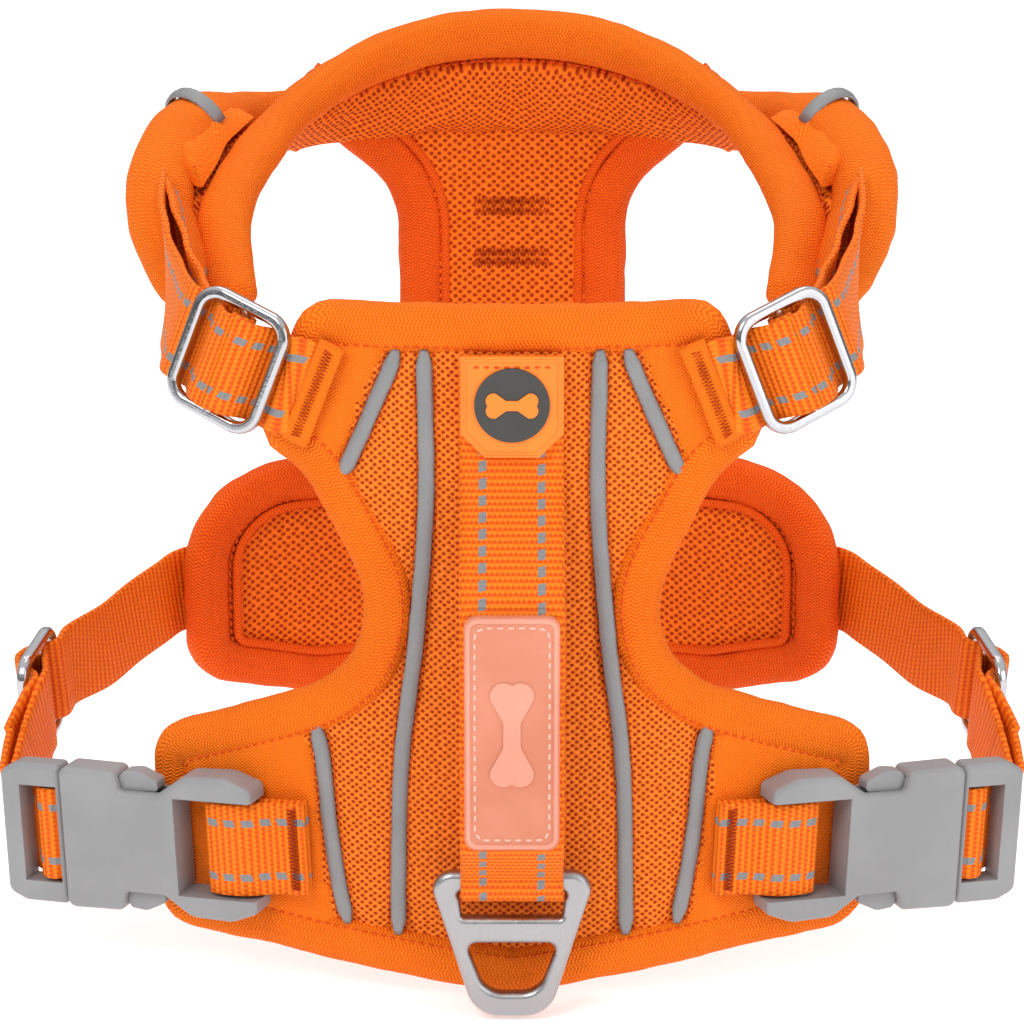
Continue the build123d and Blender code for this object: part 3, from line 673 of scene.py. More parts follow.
webbing_plain = webbing_material("webbing_plain", None)
webbing_dashed = webbing_material("webbing_dashed", 7.3)
binding_knit = binding_material("ribbed_binding", (0.84, 0.105, 0.001), (1.0, 0.22, 0.006))
# A darker copy of the ribbed binding, used on the chest: its deeper colours are painted shade.
chest_knit_painted_shade = binding_material("chest_binding_knit_painted_shade", (0.74, 0.055, 0.001), (1.0, 0.145, 0.004))
air_mesh = mesh_material("air_mesh", 1.62, 0.25, (1.0, 0.27, 0.03))
# The lining mesh's strands are darker than the air mesh's: painted shade.
lining_mesh_painted_shade = mesh_material("lining_mesh_painted_shade", 2.0, 0.27, (1.0, 0.21, 0.012))
twill = twill_material()
reflective = reflective_material()
flap_rubber = moulded_material("flap_rubber", (0.95, 0.20, 0.01), (1.0, 0.24, 0.015), 0.5)
badge_rubber = moulded_material("badge_rubber", (0.035, 0.034, 0.030), (0.05, 0.048, 0.044), 0.5)
label_silicone = moulded_material(
    "label_silicone", (0.60, 0.19, 0.10), (0.70, 0.26, 0.16), 0.36, 0.08,
    Subsurface_Weight=0.2, Subsurface_Scale=0.002,
)
label_rim = moulded_material("label_rim", (0.72, 0.27, 0.18), (0.80, 0.34, 0.24), 0.34, 0.03)
ring_steel = metal_material("ring_steel", (0.43, 0.43, 0.44), 0.24, 0.42, (1.0, 1.0, 0.06))
slide_chrome = metal_material("slide_chrome", (0.52, 0.52, 0.54), 0.06, 0.2, (1.0, 1.0, 1.0))
buckle_plastic = moulded_material("buckle_plastic", (0.245, 0.245, 0.25), (0.285, 0.285, 0.29), 0.42)
thread = thread_material("orange_thread", (0.55, 0.045, 0.0), (0.85, 0.11, 0.002))
tack_thread = thread_material("tack_thread", (0.40, 0.02, 0.0), (0.70, 0.06, 0.001))
label_thread = thread_material("label_thread", (0.80, 0.42, 0.34), (0.95, 0.62, 0.52))


# ---- Camera, light and floor ----
def camera_and_light():
    scene = bpy.context.scene
    tilt = math.radians(15)
    camera = bpy.data.objects.new("camera", bpy.data.cameras.new("camera"))
    camera.location = (0, -0.98 * math.cos(tilt), 0.98 * math.sin(tilt))
    camera.rotation_euler = (math.radians(90) - tilt, 0, 0)
    camera.data.sensor_width = 36.0
    camera.data.lens = 126.56
    scene.collection.objects.link(camera)
    scene.camera = camera
    scene.view_settings.view_transform = "Standard"
    for name, place, size, power in (
        ("key", (-0.55, -1.0, 0.95), 0.6, 7.6),
        ("fill", (0.85, -0.8, 0.35), 0.8, 3.4),
        ("top", (0.0, 0.35, 1.2), 0.9, 3.6),
    ):
        light = bpy.data.lights.new(name, "AREA")
        light.size = size
        light.energy = power
        lamp = bpy.data.objects.new(name, light)
        lamp.location = place
        lamp.rotation_euler = (-Vector(place)).to_track_quat("-Z", "Y").to_euler()
        scene.collection.objects.link(lamp)
    world = bpy.data.worlds.new("studio")
    world.use_nodes = True
    tree = world.node_tree
    place = tree.nodes.new("ShaderNodeTexCoord")
    split = tree.nodes.new("ShaderNodeSeparateXYZ")
    tree.links.new(place.outputs["Generated"], split.inputs[0])
    ramp = tree.nodes.new("ShaderNodeValToRGB")
    ramp.color_ramp.elements[0].position = 0.34
    ramp.color_ramp.elements[0].color = (0.95, 0.95, 0.95, 1.0)
    ramp.color_ramp.elements[1].position = 0.85
    ramp.color_ramp.elements[1].color = (0.95, 0.95, 0.95, 1.0)
    for at, level in ((0.47, 0.10), (0.58, 0.32), (0.70, 0.55)):
        stop = ramp.color_ramp.elements.new(at)
        stop.color = (level, level, level, 1.0)
    half_way = tree.nodes.new("ShaderNodeMapRange")
    half_way.inputs[1].default_value = -1.0
    tree.links.new(split.outputs[2], half_way.inputs[0])
    tree.links.new(half_way.outputs[0], ramp.inputs[0])
    seen = tree.nodes.new("ShaderNodeLightPath")
    choose = tree.nodes.new("ShaderNodeMix")
    choose.data_type = "RGBA"
    tree.links.new(seen.outputs["Is Camera Ray"], choose.inputs[0])
    tree.links.new(ramp.outputs[0], choose.inputs[6])
    choose.inputs[7].default_value = (1.0, 1.0, 1.0, 1.0)
    tree.links.new(choose.outputs[2], tree.nodes["Background"].inputs[0])
    scene.world = world
    paper = Graph("paper", (0.93, 0.93, 0.93), 0.8, Emission_Strength=0.42)
    paper.shader.inputs["Emission Color"].default_value = (1.0, 1.0, 1.0, 1.0)
    low = cad_box[0][2] / MM - 1.5
    verts = [(-3000, -3000, low), (3000, -3000, low), (3000, 6000, low), (-3000, 6000, low)]
    make_mesh("floor", verts, [[0, 1, 2, 3]], paper.material)


# ---- Cloth ----
def remeshed(name, node, voxel):
    """A copy of a CAD solid as an even mesh."""
    obj = bpy.data.objects.new(name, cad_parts[node].data.copy())
    bpy.context.scene.collection.objects.link(obj)
    obj.data.materials.clear()
    remesh = obj.modifiers.new("remesh", "REMESH")
    remesh.mode = "VOXEL"
    remesh.voxel_size = voxel * MM
    bake(obj)
    obj.modifiers.clear()
    bm = bmesh.new()
    bm.from_mesh(obj.data)
    for _ in range(4):
        bmesh.ops.smooth_vert(
            bm, verts=bm.verts, factor=0.5, use_axis_x=True, use_axis_y=True, use_axis_z=True
        )
    bm.to_mesh(obj.data)
    bm.free()
    return obj


def inflate(jobs):
    """Blows pads up by a cloth simulation, all in one run of frames, each to its own cap."""
    started = [(obj, [v.co.copy() for v in obj.data.vertices], cap) for obj, cap in jobs]
    for obj, rest, cap in started:
        cloth = obj.modifiers.new("cloth", "CLOTH")
        cloth.settings.use_pressure = True
        cloth.settings.uniform_pressure_force = 4.0
        cloth.settings.effector_weights.gravity = 0.0
        cloth.settings.quality = 4
    for step in range(1, 21):
        bpy.context.scene.frame_set(step)
    for obj, rest, cap in started:
        bake(obj)
        obj.modifiers.clear()
        for v, before in zip(obj.data.vertices, rest):
            move = v.co - before
            if move.length > cap * MM:
                v.co = before + move * (cap * MM / move.length)
    bpy.context.scene.frame_set(1)
    for obj, rest, cap in started:
        finer = obj.modifiers.new("finer", "SUBSURF")
        finer.levels = 1
        bake(obj)
        obj.modifiers.clear()
        obj.data.polygons.foreach_set("use_smooth", [True] * len(obj.data.polygons))


def bake(obj):
    graph = bpy.context.evaluated_depsgraph_get()
    result = bpy.data.meshes.new_from_object(obj.evaluated_get(graph))
    old = obj.data
    obj.data = result
    bpy.data.meshes.remove(old)


def give_uv(obj, mapping, material):
    layer = obj.data.uv_layers.new(name="UVMap")
    for loop in obj.data.loops:
        layer.data[loop.index].uv = mapping(obj.data.vertices[loop.vertex_index].co)
    obj.data.materials.append(material)
    return obj


def channel(obj, lines, depth, width):
    """Presses sewn lines into a padded piece."""
    points = [p * MM for line in lines for p in line]
    tree = KDTree(len(points))
    for i, p in enumerate(points):
        tree.insert(p, i)
    tree.balance()
    moved = []
    for v in obj.data.vertices:
        nearest = tree.find(v.co)[2] / MM
        fall = math.exp(-((nearest / width) ** 2))
        moved.append(v.co - v.normal * (depth * fall * MM))
    for v, co in zip(obj.data.vertices, moved):
        v.co = co


# ---- Pieces laid on the panels ----
def laid_sweep(name, flat, surface, height, section, material, closed=False, around=True, scale=None):
    points, outs = lay(flat, surface, height)
    n = len(points)
    acrosses = []
    for i in range(n):
        before = points[(i - 1) % n] if closed else points[max(i - 1, 0)]
        after = points[(i + 1) % n] if closed else points[min(i + 1, n - 1)]
        acrosses.append(outs[i].cross((after - before).normalized()))
    return sweep(name, points, acrosses, section, material, closed=closed, around=around, scale=scale)


def both(points):
    return [("right", [Vector(p) for p in points]), ("left", [Vector((-p[0], p[1])) for p in points])]


BACK_LINE, _ = resample(mirror_outline(rounded(BACK_OUTLINE, BACK_RADII)), 1.3, True)
CHEST_HALF = rounded(CHEST_OUTLINE, CHEST_RADII)
CHEST_LINE, _ = resample([Vector((-p.x, p.y)) for p in CHEST_HALF[:-1]] + CHEST_HALF[::-1], 1.3)
PIPINGS = {
    "back_piping_inner": [(21.7, 62.6), (21.4, 24), (24.2, -12.4), (28, -44.5), (29.3, -91.6)],
    "back_piping_upper": [(28.6, 62.6), (29.2, 60.2), (35.5, 45), (42.5, 29.2)],
    "back_piping_lower": [(50.0, -36), (48.3, -45), (46.8, -62), (44.6, -78), (42.3, -89.6)],
}
UPPER_PATCH = [
    (30.6, 66), (50, 68), (56, 58), (59.5, 44), (58, 38), (50, 33),
    (45, 26.5), (43.6, 31), (37.4, 46), (31.3, 60.6),
]
LOWER_PATCH = [
    (52.6, -35), (62, -37), (86, -49), (89, -58), (89, -86), (85, -91),
    (62, -93), (43.6, -96), (46.6, -78), (48.8, -62), (50.4, -45),
]
PIPING_SECTION = pillow(4.1, 2.6, 2.3, 14)


def build_back(panel):
    lines = []
    for name, points in PIPINGS.items():
        for side, flat in both(points):
            line = smooth_line(flat, 1.3)
            lines.append(lay(line, back_point, 0.0)[0])
            last = len(line) - 1

            def tuck(i):
                return min(1.0, 0.5 + min(i, last - i) * 0.17)

            tape = laid_sweep(
                f"{name}_tape_{side}", line, back_point, 0.5, PIPING_SECTION, reflective, scale=tuck
            )
            dress(rumple(tape, 0.15, 6.0), [f"{name}_{side}"])
            seam = [resample([p + Vector((o, 0)) for p in line], 2.0)[0] for o in (-2.5, 2.5)]
            laid = [lay(s, back_point, 0.25) for s in seam]
            dress(stitches(f"{name}_seam_{side}", laid, thread, 2.2, 1.5, 0.2))
    channel(panel, lines, 1.3, 3.5)
    rumple(panel, 0.35, 14.0, 4.0)
    give_uv(panel, back_uv, air_mesh)
    dress(panel, ["back_panel"])
    flat, _ = resample(inset(BACK_LINE, BINDING / 2), 1.3, True)
    section = pillow(12.6, 9.0, 2.5, 26)
    binding = laid_sweep("back_binding_roll", flat, back_point, PANEL_MIDDLE, section, binding_knit, True)
    rumple(binding, 0.35, 9.0, 1.0)
    dress(binding, ["back_panel_binding"])
    seam, _ = resample(inset(BACK_LINE, 10.2), 1.3, True)
    points, outs = lay(seam + seam[:1], back_point, 1.35)
    edge_stitches("back_binding_stitches", points, outs)
    inner, inner_outs = lay(seam + seam[:1], back_point, -6.4)
    edge_stitches("back_lining_stitches", inner, [-o for o in inner_outs])
    for name, points in (("upper_wing", UPPER_PATCH), ("lower_wing", LOWER_PATCH)):
        for side, rim in both(points):
            cloth = patch(f"{name}_twill_{side}", rim, back_point, 0.0, 1.0, twill, bulge=0.7)
            dress(rumple(cloth, 0.3, 12.0, 2.0), [f"{name}_patch_{side}"])


def edge_stitches(name, points, outs):
    dress(stitches(name, [(points, outs)], thread, 2.5, 1.7, 0.3))


def back_uv(co):
    angle = math.atan2(co.x, BACK_AXIS * MM - co.y)
    return angle * BACK_RADIUS * MM, co.z


def chest_uv(co):
    angle = math.atan2(co.x, co.y - CHEST_AXIS * MM)
    return angle * CHEST_RADIUS * MM, co.z


def yoke_uv(co):
    reach = math.hypot(co.x, co.y - 5 * MM)
    return math.atan2(co.x, co.y - 5 * MM) * 85 * MM, reach - 0.7 * co.z


# ---- Chest strip and belly pad ----
def build_chest(panel):
    rim = inset(CHEST_LINE, -BINDING - 0.6, False)
    rumple(panel, 0.35, 14.0, 6.0)
    give_uv(panel, chest_uv, lining_mesh_painted_shade)
    dress(panel, ["chest_panel"])
    flat, _ = resample(inset(CHEST_LINE, -BINDING / 2, False), 1.3)
    section = pillow(12.8, 10.2, 2.5, 26)
    binding = laid_sweep("chest_binding_roll", flat, chest_point, CHEST_MIDDLE, section, chest_knit_painted_shade)
    rumple(binding, 0.45, 10.0, 3.0)
    dress(binding, ["chest_binding"])
    for name, height, way in (("inside", -0.7, -1), ("outside", 6.7, 1)):
        cord = laid_sweep(f"chest_cord_{name}", rim, chest_point, height, pillow(2.6, 2.4, 2, 12), chest_knit_painted_shade)
        dress(cord)
        seam = inset(CHEST_LINE, -BINDING + 1.4, False)
        points, outs = lay(seam, chest_point, height + 0.1 * way)
        edge_stitches(f"chest_stitches_{name}", points, [o * way for o in outs])
    rows = []
    for z in (71, 68, 56, 53):
        start, out = chest_point(-11, z, -0.9)
        end, _ = chest_point(11, z, -0.9)
        rows.append((start, end, Z, out))
    dress(tacks("chest_tack_rows", rows, tack_thread))


# ---- Yoke ----
def yoke_lines():
    necks = [Vector(n) for n, a in STATIONS]
    arms = [Vector(a) for n, a in STATIONS]
    downs = [(a - n).normalized() for n, a in zip(necks, arms)]
    return necks, arms, downs


def build_yoke(front):
    necks, arms, downs = yoke_lines()
    rumple(front, 0.5, 15.0, 5.0)
    give_uv(front, yoke_uv, lining_mesh_painted_shade)
    dress(front, ["chest_yoke"])
    around = flip(necks[:0:-1]) + necks
    across = flip(downs[:0:-1]) + downs
    line, turned = smooth_line(around, 1.3, values=across)
    last = len(line) - 1

    def ends(i):
        return min(1.0, 0.45 + min(i, last - i) * 0.13)

    section = pillow(14.4, 11.4, 2.15, 28)
    roll = sweep("neck_roll", line, turned, section, binding_knit, around=True, scale=ends)
    dress(rumple(roll, 0.4, 11.0, 7.0), ["neck_binding"])
    normals = [(b - a).normalized().cross(t) for a, b, t in zip(line, line[1:] + line[-1:], turned)]
    normals[-1] = normals[-2]
    for name, way in (("outer", 1), ("inner", -1)):
        seam = [p + t * 7.0 + n.normalized() * (way * 3.4) for p, t, n in zip(line, turned, normals)]
        edge_stitches(f"neck_stitches_{name}", seam[4:-4], [n * way for n in normals[4:-4]])
    for side, way in (("right", 1), ("left", -1)):
        place = yoke_surface(1)
        reaches = [(a - n).length for n, a in zip(necks, arms)]
        points = [place(2.0, reaches[2] - 8, 2.0)[0]]
        for u, lift in ((3, 7.5), (4, 9.5), (5, 5.5), (6, 1.5)):
            points.append(place(u, reaches[u] - 7.5, lift)[0])
        points += [arms[7] - downs[7] * 5.5]
        turns = downs[2:]
        edge, turned = smooth_line(points, 1.3, values=turns)
        count = len(edge) - 1
        if way < 0:
            edge, turned = flip(edge), flip(turned)

        def lobe(i):
            return min(1.0, 0.45 + i * 0.045, 0.45 + (count - i) * 0.03)

        section = pillow(18.5, 16.0, 2.1, 30)
        roll = sweep(f"arm_lobe_{side}", edge, turned, section, binding_knit, around=True, scale=lobe)
        rumple(roll, 0.6, 12.0, 8.0 * way)
        dress(roll, [f"yoke_arm_binding_{side}"])


def yoke_surface(way):
    """A point over the yoke: u runs along the stations, v from neck to arm in millimetres."""
    necks, _, downs = yoke_lines()

    def place(u, v, height):
        i = min(int(u), len(necks) - 2)
        f = u - i
        neck = necks[i].lerp(necks[i + 1], f)
        down = downs[i].lerp(downs[i + 1], f).normalized()
        along = (necks[min(i + 2, 7)] - necks[max(i - 1, 0)]).normalized()
        out = along.cross(down).normalized()
        p = neck + down * v + out * height
        if way < 0:
            return Vector((-p.x, p.y, p.z)), Vector((-out.x, out.y, out.z))
        return p, out

    return place


# The shoulder cover's outline: stations along the yoke, and millimetres from the neck edge
COVER_RIM = [(3.3, 6.6), (3.8, 6.2), (4.4, 6.2), (4.9, 7.4), (4.9, 23.0), (4.4, 25.0), (3.9, 26.0), (3.5, 24)]


def build_caps():
    for side, way in (("right", 1), ("left", -1)):
        place = yoke_surface(way)
        scale = 22.0

        def surface(x, y, height):
            return place(x / scale, y, height)

        rim = [(u * scale, v) for u, v in COVER_RIM]
        cloth = patch(f"shoulder_cover_{side}", rim, surface, 6.5, 2.0, twill, edge=4.0, bulge=8.0)
        dress(rumple(cloth, 0.5, 10.0, 9.0), [f"shoulder_cap_{side}"])
        crest, _ = place(3.9, 18.5, 9.5)
        down = (place(3.9, 20.0, 0)[0] - place(3.9, 10.0, 0)[0]).normalized()
        _, out = place(3.9, 18.5, 0)
        turns = [math.radians(175 - 16 * k) for k in range(13)]
        arc = [down * math.cos(t) + out * math.sin(t) for t in turns]
        line = [crest + ray * 10.0 for ray in arc]
        ahead = line[1:] + line[-1:]
        behind = line[:1] + line[:-1]
        spread = [ray.cross((b - a).normalized()) for ray, a, b in zip(arc, behind, ahead)]
        tape = sweep(f"shoulder_tape_{side}", line, spread, pillow(4.2, 1.6, 2.3, 14), reflective)
        dress(tape, [f"yoke_reflective_{side}"])
        seam = [place(3.75 + 1.05 * k / 12, 9.5, 10.3) for k in range(13)]
        threads = stitches(f"shoulder_seam_{side}", [tuple(zip(*seam))], thread, 2.3, 1.6, 0.3)
        dress(threads)


# ---- Hardware frames ----
class Place:
    """A frame for hardware on the right side: x along the webbing, z outwards."""

    def __init__(self, origin, along, out):
        self.origin, out = Vector(origin), Vector(out)
        self.x = Vector(along).normalized()
        self.z = (out - self.x * self.x.dot(out)).normalized()
        self.y = self.z.cross(self.x)

    def at(self, x, z, y=0.0):
        return self.origin + self.x * x + self.y * y + self.z * z


YAW, DROP = math.radians(21), math.radians(2.8)
BUCKLE = Place(
    (64.5, -76, -69),
    (math.cos(YAW) * math.cos(DROP), math.sin(YAW) * math.cos(DROP), -math.sin(DROP)),
    (math.sin(YAW), -math.cos(YAW), 0),
)
SHOULDER = Place((70.6, -71.5, 58.3), (-0.84, -0.41, -0.35), (0.40, -0.90, 0.10))
FLANK = Place((130, 0, -52), (-0.20, 0.95, 0.22), (0.97, 0.20, 0.0))
# Webbing through a slide, along its x and z: over the bar, and round it
THROUGH = [(-16, -3.05), (-9.5, -3.05), (-4.4, 3.9), (0, 5.3), (4.4, 3.9), (9.5, -3.05), (16, -3.05)]
ROUND = [
    (-12.5, -5.2), (-6.5, -4.8), (-1.2, -2.7), (1.9, -1.9), (2.7, 0), (1.9, 1.9), (-0.4, 2.7), (-2.4, 1.35),
]


def sided(route, way):
    if way > 0:
        return route
    return list(zip(flip([Vector(p) for p, a in route]), flip([Vector(a) for p, a in route])))


def half(p, way):
    return (p.x * way * MM, p.y * MM, p.z * MM)


def build_shoulder_straps():
    across = SHOULDER.y
    outer = [
        ((91.5, 8.0, 82.5), (-0.10, 0.62, -0.78)), ((90.6, -6.0, 77.5), (-0.15, 0.45, -0.88)),
        ((89.6, -24, 71.5), (0.02, 0.28, -0.96)), ((86.8, -44, 66), (0.22, 0.12, -0.97)),
    ] + [(SHOULDER.at(x, z), across) for x, z in THROUGH[:4]]
    inner = [(SHOULDER.at(x, z), across) for x, z in THROUGH[3:]]
    inner += [(back_point(53.2, 53.0, 3.4)[0], (0.37, 0.13, -0.92))]
    inner += [(back_point(49.4, 51.6, 3.4)[0], (0.36, 0.12, -0.92))]
    under = [
        ((87.0, 7.0, 82.5), (-0.45, 0.50, -0.74)), ((84.6, -7.0, 77.5), (-0.40, 0.36, -0.84)),
        ((82.6, -26, 70.0), (-0.15, 0.24, -0.96)), ((80.6, -45, 63.5), (0.15, 0.10, -0.98)),
    ] + [(SHOULDER.at(x, z), across) for x, z in ROUND]
    for side, way in (("right", 1), ("left", -1)):
        far, near = half(SHOULDER.at(-34, 0), way), half(SHOULDER.at(-15, 0), way)
        top = strap(f"shoulder_run_outer_{side}", sided(outer, way), webbing_dashed)
        dress(top, [f"shoulder_strap_{side}"], None)
        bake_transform(top)
        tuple(far)
        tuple(near)
        end = strap(f"shoulder_run_inner_{side}", sided(inner, way), webbing_dashed)
        dress(end, [], None)
        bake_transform(end)
        low = strap(f"shoulder_run_under_{side}", sided(under, way), webbing_dashed)
        dress(low, [f"shoulder_strap_return_{side}"], None)
        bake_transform(low)
        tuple(far)
        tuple(near)
        edge = Vector(back_point(48.2, 51.2, 4.2)[0])
        out_b = back_point(48.2, 51.2)[1]
        hem = [edge + Vector((0.36, 0.12, -0.92)) * (k - 7) * 2.0 for k in range(15)]
        fold_across = [out_b.cross(Vector((0.36, 0.12, -0.92)))] * 15
        if way < 0:
            hem, fold_across = flip(hem), flip(fold_across)
        section = pillow(7.0, 1.8, 2.6, 16)
        cover = sweep(f"shoulder_anchor_fold_{side}", hem, fold_across, section, twill, around=True)
        dress(rumple(cover, 0.25, 6.0))
        direction = out_b if way > 0 else Vector((-out_b.x, out_b.y, out_b.z))
        row_start, row_end = hem[1] + direction * 0.9, hem[-2] + direction * 0.9
        run = (row_end - row_start).normalized()
        row = (row_start, row_end, direction.cross(run), direction)
        dress(tacks(f"shoulder_anchor_tack_{side}", [row], tack_thread, 0.9))


def build_belly_straps():
    up = (0.0, 0.0, 1.0)
    by = BUCKLE.y
    link = [(BUCKLE.at(73.0, -4.9), by), (BUCKLE.at(76.9, -7.3), by), ((134.4, -37, -70.3), by)]
    link += [((134.2, -31.5, -66.7), FLANK.y), ((133.3, -24, -61.5), FLANK.y)]
    link_under = [(BUCKLE.at(71.0, -7.3), by), (BUCKLE.at(75.3, -9.0), by), ((131.4, -35.4, -70.2), by)]
    link_under += [((130.7, -30.2, -66.4), FLANK.y), ((129.6, -24, -61.8), FLANK.y)]
    front = [((133.3, -24, -61.5), FLANK.y)] + [(FLANK.at(x, z), FLANK.y) for x, z in THROUGH[:4]]
    rear = [(FLANK.at(x, z), FLANK.y) for x, z in THROUGH[3:]]
    rear += [((115, 30, -47), up), ((108.5, 42, -44), up), ((101.5, 53.5, -41.5), up)]
    rear += [(chest_point(91, -39.8, 9.4)[0], up), (chest_point(80, -39.2, 9.2)[0], up)]
    under = [((129.6, -24, -61.8), FLANK.y)] + [(FLANK.at(x, z), FLANK.y) for x, z in ROUND]
    for side, way in (("right", 1), ("left", -1)):
        for name, route in (("outer", link), ("inner", link_under)):
            piece = strap(f"girth_link_{name}_{side}", sided(route, way), webbing_plain)
            dress(piece, [], None)
            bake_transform(piece)
        far, near = half(FLANK.at(-24, 0), way), half(FLANK.at(-15, 0), way)
        piece = strap(f"girth_run_front_{side}", sided(front, way), webbing_plain)
        dress(piece, [f"belly_strap_{side}"], None)
        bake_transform(piece)
        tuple(far)
        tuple(near)
        piece = strap(f"girth_run_under_{side}", sided(under, way), webbing_plain)
        dress(piece, [f"belly_strap_return_{side}"], None)
        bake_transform(piece)
        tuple(far)
        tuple(near)
        piece = strap(f"girth_run_rear_{side}", sided(rear, way), webbing_plain)
        dress(piece, [], None)
        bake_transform(piece)
        box = [chest_point(88, -39.5 + s * 10, 10.6) for s in (-1, 1)]
        (low, out), (high, _) = box
        if way < 0:
            low, high, out = flip([low, high, out])
        dress(tacks(f"girth_tack_{side}", [(low, high, X, out)], tack_thread, 0.9))


# ---- Buckle webbing, handle and rings ----
def buckle_paths():
    loop = [
        (76.2, -6.6), (73.8, -4.9), (67.6, -4.6), (65.0, -2.9), (62.4, 1.6), (60.0, 3.0), (58.8, 3.0),
        (56.9, 1.7), (56.9, -2.4), (60.0, -5.0), (67.6, -6.9), (72.8, -7.2), (75.2, -9.0),
    ]
    anchor = [
        (-12.0, -3.9), (-8.0, -3.6), (3.5, -2.7), (11.9, -2.7), (13.8, -1.6), (13.8, 1.6),
        (11.9, 2.7), (3.5, 2.7), (-3.0, -0.8), (-8.0, -1.6), (-12.0, -1.9),
    ]
    return loop, anchor


def build_buckle_webbing():
    loop, anchor = buckle_paths()
    for side, way in (("right", 1), ("left", -1)):
        route = [(BUCKLE.at(x, z), BUCKLE.y) for x, z in loop]
        piece = strap(f"male_webbing_{side}", sided(route, way), webbing_dashed, relax=1)
        dress(piece, [f"male_strap_loop_{side}"], f"male_{side}")
        route = [(BUCKLE.at(x, z), BUCKLE.y) for x, z in anchor]
        piece = strap(f"anchor_webbing_{side}", sided(route, way), webbing_dashed, relax=1)
        dress(piece, [f"buckle_webbing_{side}"], "root")
        start, end, out = BUCKLE.at(-9.0, -0.6, -11), BUCKLE.at(-9.0, -0.6, 11), BUCKLE.z
        if way < 0:
            start, end, out = flip([start, end, out])
        row = (start, end, out.cross((end - start).normalized()), out)
        dress(tacks(f"anchor_tack_{side}", [row], tack_thread, 0.9))


def loop_path(points, radii):
    return [Vector((0, p.x, p.y)) for p in rounded([Vector(p) for p in points], radii)]


def build_handle():
    y, z = BACK_BAR
    wrap = 4.3
    points = [
        (-81.4, 60), (-81.4, 29.5), (-104, 3), (-104, -59), (y - wrap, -70), (y - wrap, z - wrap),
        (y + wrap, z - wrap), (y + wrap, -70), (-81.4, -62.5), (-81.4, -55.5),
    ]
    path = loop_path(points, [0, 20, 20, 4, 2, 4.1, 4.1, 2, 3, 0])
    line, _ = resample(path, 1.2)
    piece = sweep("handle_webbing", line, [X] * len(line), flat_section(26.0, 2.0, 10), webbing_dashed)
    dress(rumple(piece, 0.12, 7.0), ["handle"], "root")
    y, z = FRONT_BAR
    wrap = 4.1
    points = [
        (91.2, z + 24), (91.2, z + 10), (y - wrap, z + 2), (y - wrap, z - wrap), (y + wrap, z - wrap),
        (y + wrap, z + 2), (93.2, z + 13), (93.2, z + 24),
    ]
    path = loop_path(points, [0, 3, 1.5, 3.9, 3.9, 1.5, 3, 0])
    line, _ = resample(path, 1.2)
    piece = sweep("front_ring_strap", line, [X] * len(line), flat_section(25.0, 1.6), webbing_dashed)
    dress(rumple(piece, 0.1, 7.0), ["front_ring_webbing"], "root")
    rows = [(Vector((-11, 94.3, z + h)), Vector((11, 94.3, z + h)), Z, Vector((0, 1, 0))) for h in (16, 21)]
    dress(tacks("front_ring_tacks", rows, tack_thread, 0.9))


def rounded_rectangle(width, height, radius, centre=(0, 0)):
    w, h = width / 2, height / 2
    corners = [(-w, -h), (w, -h), (w, h), (-w, h)]
    line = rounded([Vector((centre[0] + x, centre[1] + z)) for x, z in corners], [radius] * 4, closed=True)
    return resample(line, 0.8, True)[0]


def raised(name, outline, y, depth, material, edge=0.5):
    """A flat moulded shape with softened edges, standing off a face that looks along -Y."""
    n = len(outline)
    rings = [(0.0, 0.0), (0.0, depth - edge), (edge * 0.3, depth - edge * 0.3), (edge, depth)]
    centre = sum(outline, Vector((0, 0))) / n
    verts, faces = [], []
    for back, lift in rings:
        for p in outline:
            way = (centre - p).normalized()
            q = p + way * back
            verts.append(Vector((q.x, y - lift, q.y)))
    for r in range(len(rings) - 1):
        for k in range(n):
            l = (k + 1) % n
            faces.append([r * n + k, r * n + l, r * n + n + l, r * n + n + k])
    faces.append([(len(rings) - 1) * n + k for k in range(n)])
    faces.append([k for k in range(n - 1, -1, -1)])
    obj = make_mesh(name, verts, faces, material)
    flat = len(obj.data.polygons)
    obj.data.polygons[flat - 1].use_smooth = False
    obj.data.polygons[flat - 2].use_smooth = False
    return obj


def bone_outline(length, width, centre):
    """A plain bone pictogram, as one outline."""
    r = width * 0.31
    points = []
    for k in range(96):
        a = 2 * math.pi * k / 96
        ray = Vector((math.cos(a), math.sin(a)))
        best = 0.0
        for sx in (-1, 1):
            for sz in (-1, 1):
                lobe = Vector((sx * (length / 2 - r), sz * (width / 2 - r)))
                along = ray.dot(lobe)
                miss = lobe.length_squared - along * along
                if miss < r * r:
                    best = max(best, along + math.sqrt(r * r - miss))
        bar = width * 0.2
        reach = min((length / 2 - r) / max(abs(ray.x), 1e-6), bar / max(abs(ray.y), 1e-6))
        points.append(ray * max(best, reach) + Vector(centre))
    return points


def bead(name, outline, y, width, height, material):
    """A raised bead along a closed outline on a face that looks along -Y."""
    path = [Vector((p.x, y, p.y)) for p in outline]
    n = len(path)
    runs = [(path[(i + 1) % n] - path[i - 1]).normalized() for i in range(n)]
    across = [Vector((0, -1, 0)).cross(run) for run in runs]
    return sweep(name, path, across, pillow(width, height, 2, 8), material, closed=True)


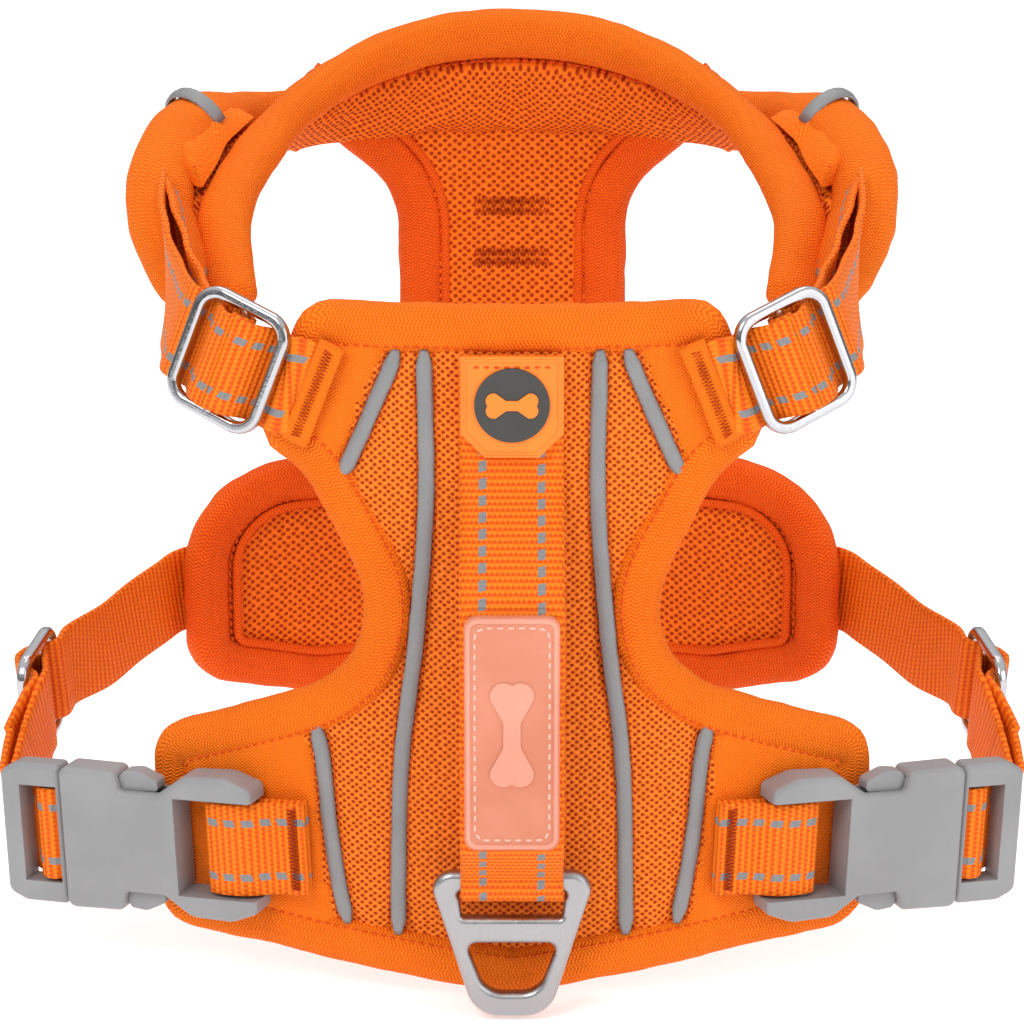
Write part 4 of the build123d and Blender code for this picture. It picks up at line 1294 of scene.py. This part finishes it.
def build_tags():
    out = Vector((0, -1, 0))
    flap, badge, label = (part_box(n) for n in ("id_flap", "id_badge", "handle_label"))
    bx, bz = (badge[0][0] + badge[1][0]) / 2 / MM, (badge[0][2] + badge[1][2]) / 2 / MM
    bone = bone_outline(13.0, 6.4, (bx, bz))
    bone = raised("badge_bone", bone, badge[0][1] / MM + 0.05, 0.5, flap_rubber, 0.2)
    dress(bone, [], "id_flap")
    side, low, high = flap[1][0] / MM, flap[0][2] / MM, flap[1][2] / MM
    ridge = [
        (1 - side, high - 1), (side - 1, high - 1), (side - 1, low + 6.4),
        (side - 6.4, low + 1), (6.4 - side, low + 1), (1 - side, low + 6.4),
    ]
    rim, _ = resample([Vector(p) for p in ridge], 0.8, True)
    dress(bead("flap_bead", rim, flap[0][1] / MM, 0.9, 0.7, flap_rubber), [], "id_flap")
    y = label[0][1] / MM
    cz = (label[0][2] + label[1][2]) / 2 / MM
    rim = rounded_rectangle(21.6, 58.2, 2.4, (0, cz))
    dress(bead("label_bead", rim, y, 1.3, 0.9, label_rim))
    seam = rounded_rectangle(18.4, 54.8, 1.8, (0, cz))
    path = [Vector((p.x, y, p.y)) for p in seam + seam[:1]]
    threads = stitches("label_stitches", [(path, [out] * len(path))], label_thread, 2.6, 1.8, 0.28)
    dress(threads)
    turned = [Vector((p.y, p.x)) for p in bone_outline(27, 11, (0, 0))]
    motif = [Vector((p.x, p.y + cz)) for p in turned][::-1]
    dress(raised("label_bone", motif, y + 0.05, 0.45, label_rim, 0.2))
    seam = [Vector((x, flap[0][1] / MM, high - 2.6)) for x in range(-10, 11)]
    threads = stitches("flap_stitches", [(seam, [out] * len(seam))], thread, 2.4, 1.6, 0.28)
    dress(threads, [], "id_flap")


def paint(prefix, material):
    for name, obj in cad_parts.items():
        if name.startswith(prefix):
            if obj.material_slots:
                for holder in obj.material_slots:
                    holder.material = material
            else:
                obj.data.materials.append(material)


camera_and_light()
back_pad = cushion("back_air_mesh", inset(BACK_LINE, 7.0), back_point, -5.0, 0.0)
chest_pad = cushion("chest_air_mesh", inset(CHEST_LINE, -7.0, False), chest_point, 0.0, 6.0)
yoke_pad = remeshed("yoke_air_mesh", "chest_yoke", 2.8)
inflate([(back_pad, 0.9), (chest_pad, 1.0), (yoke_pad, 2.5)])
build_back(back_pad)
build_chest(chest_pad)
build_yoke(yoke_pad)
build_caps()
build_shoulder_straps()
build_belly_straps()
build_buckle_webbing()
build_handle()
build_tags()
for prefix, material in (
    ("back_leash_ring", ring_steel), ("front_leash_ring", ring_steel),
    ("shoulder_slide", slide_chrome), ("side_slide", slide_chrome),
    ("buckle_female", buckle_plastic), ("buckle_male", buckle_plastic), ("buckle_prong", buckle_plastic),
    ("id_flap", flap_rubber), ("id_badge", badge_rubber), ("handle_label", label_silicone),
):
    paint(prefix, material)
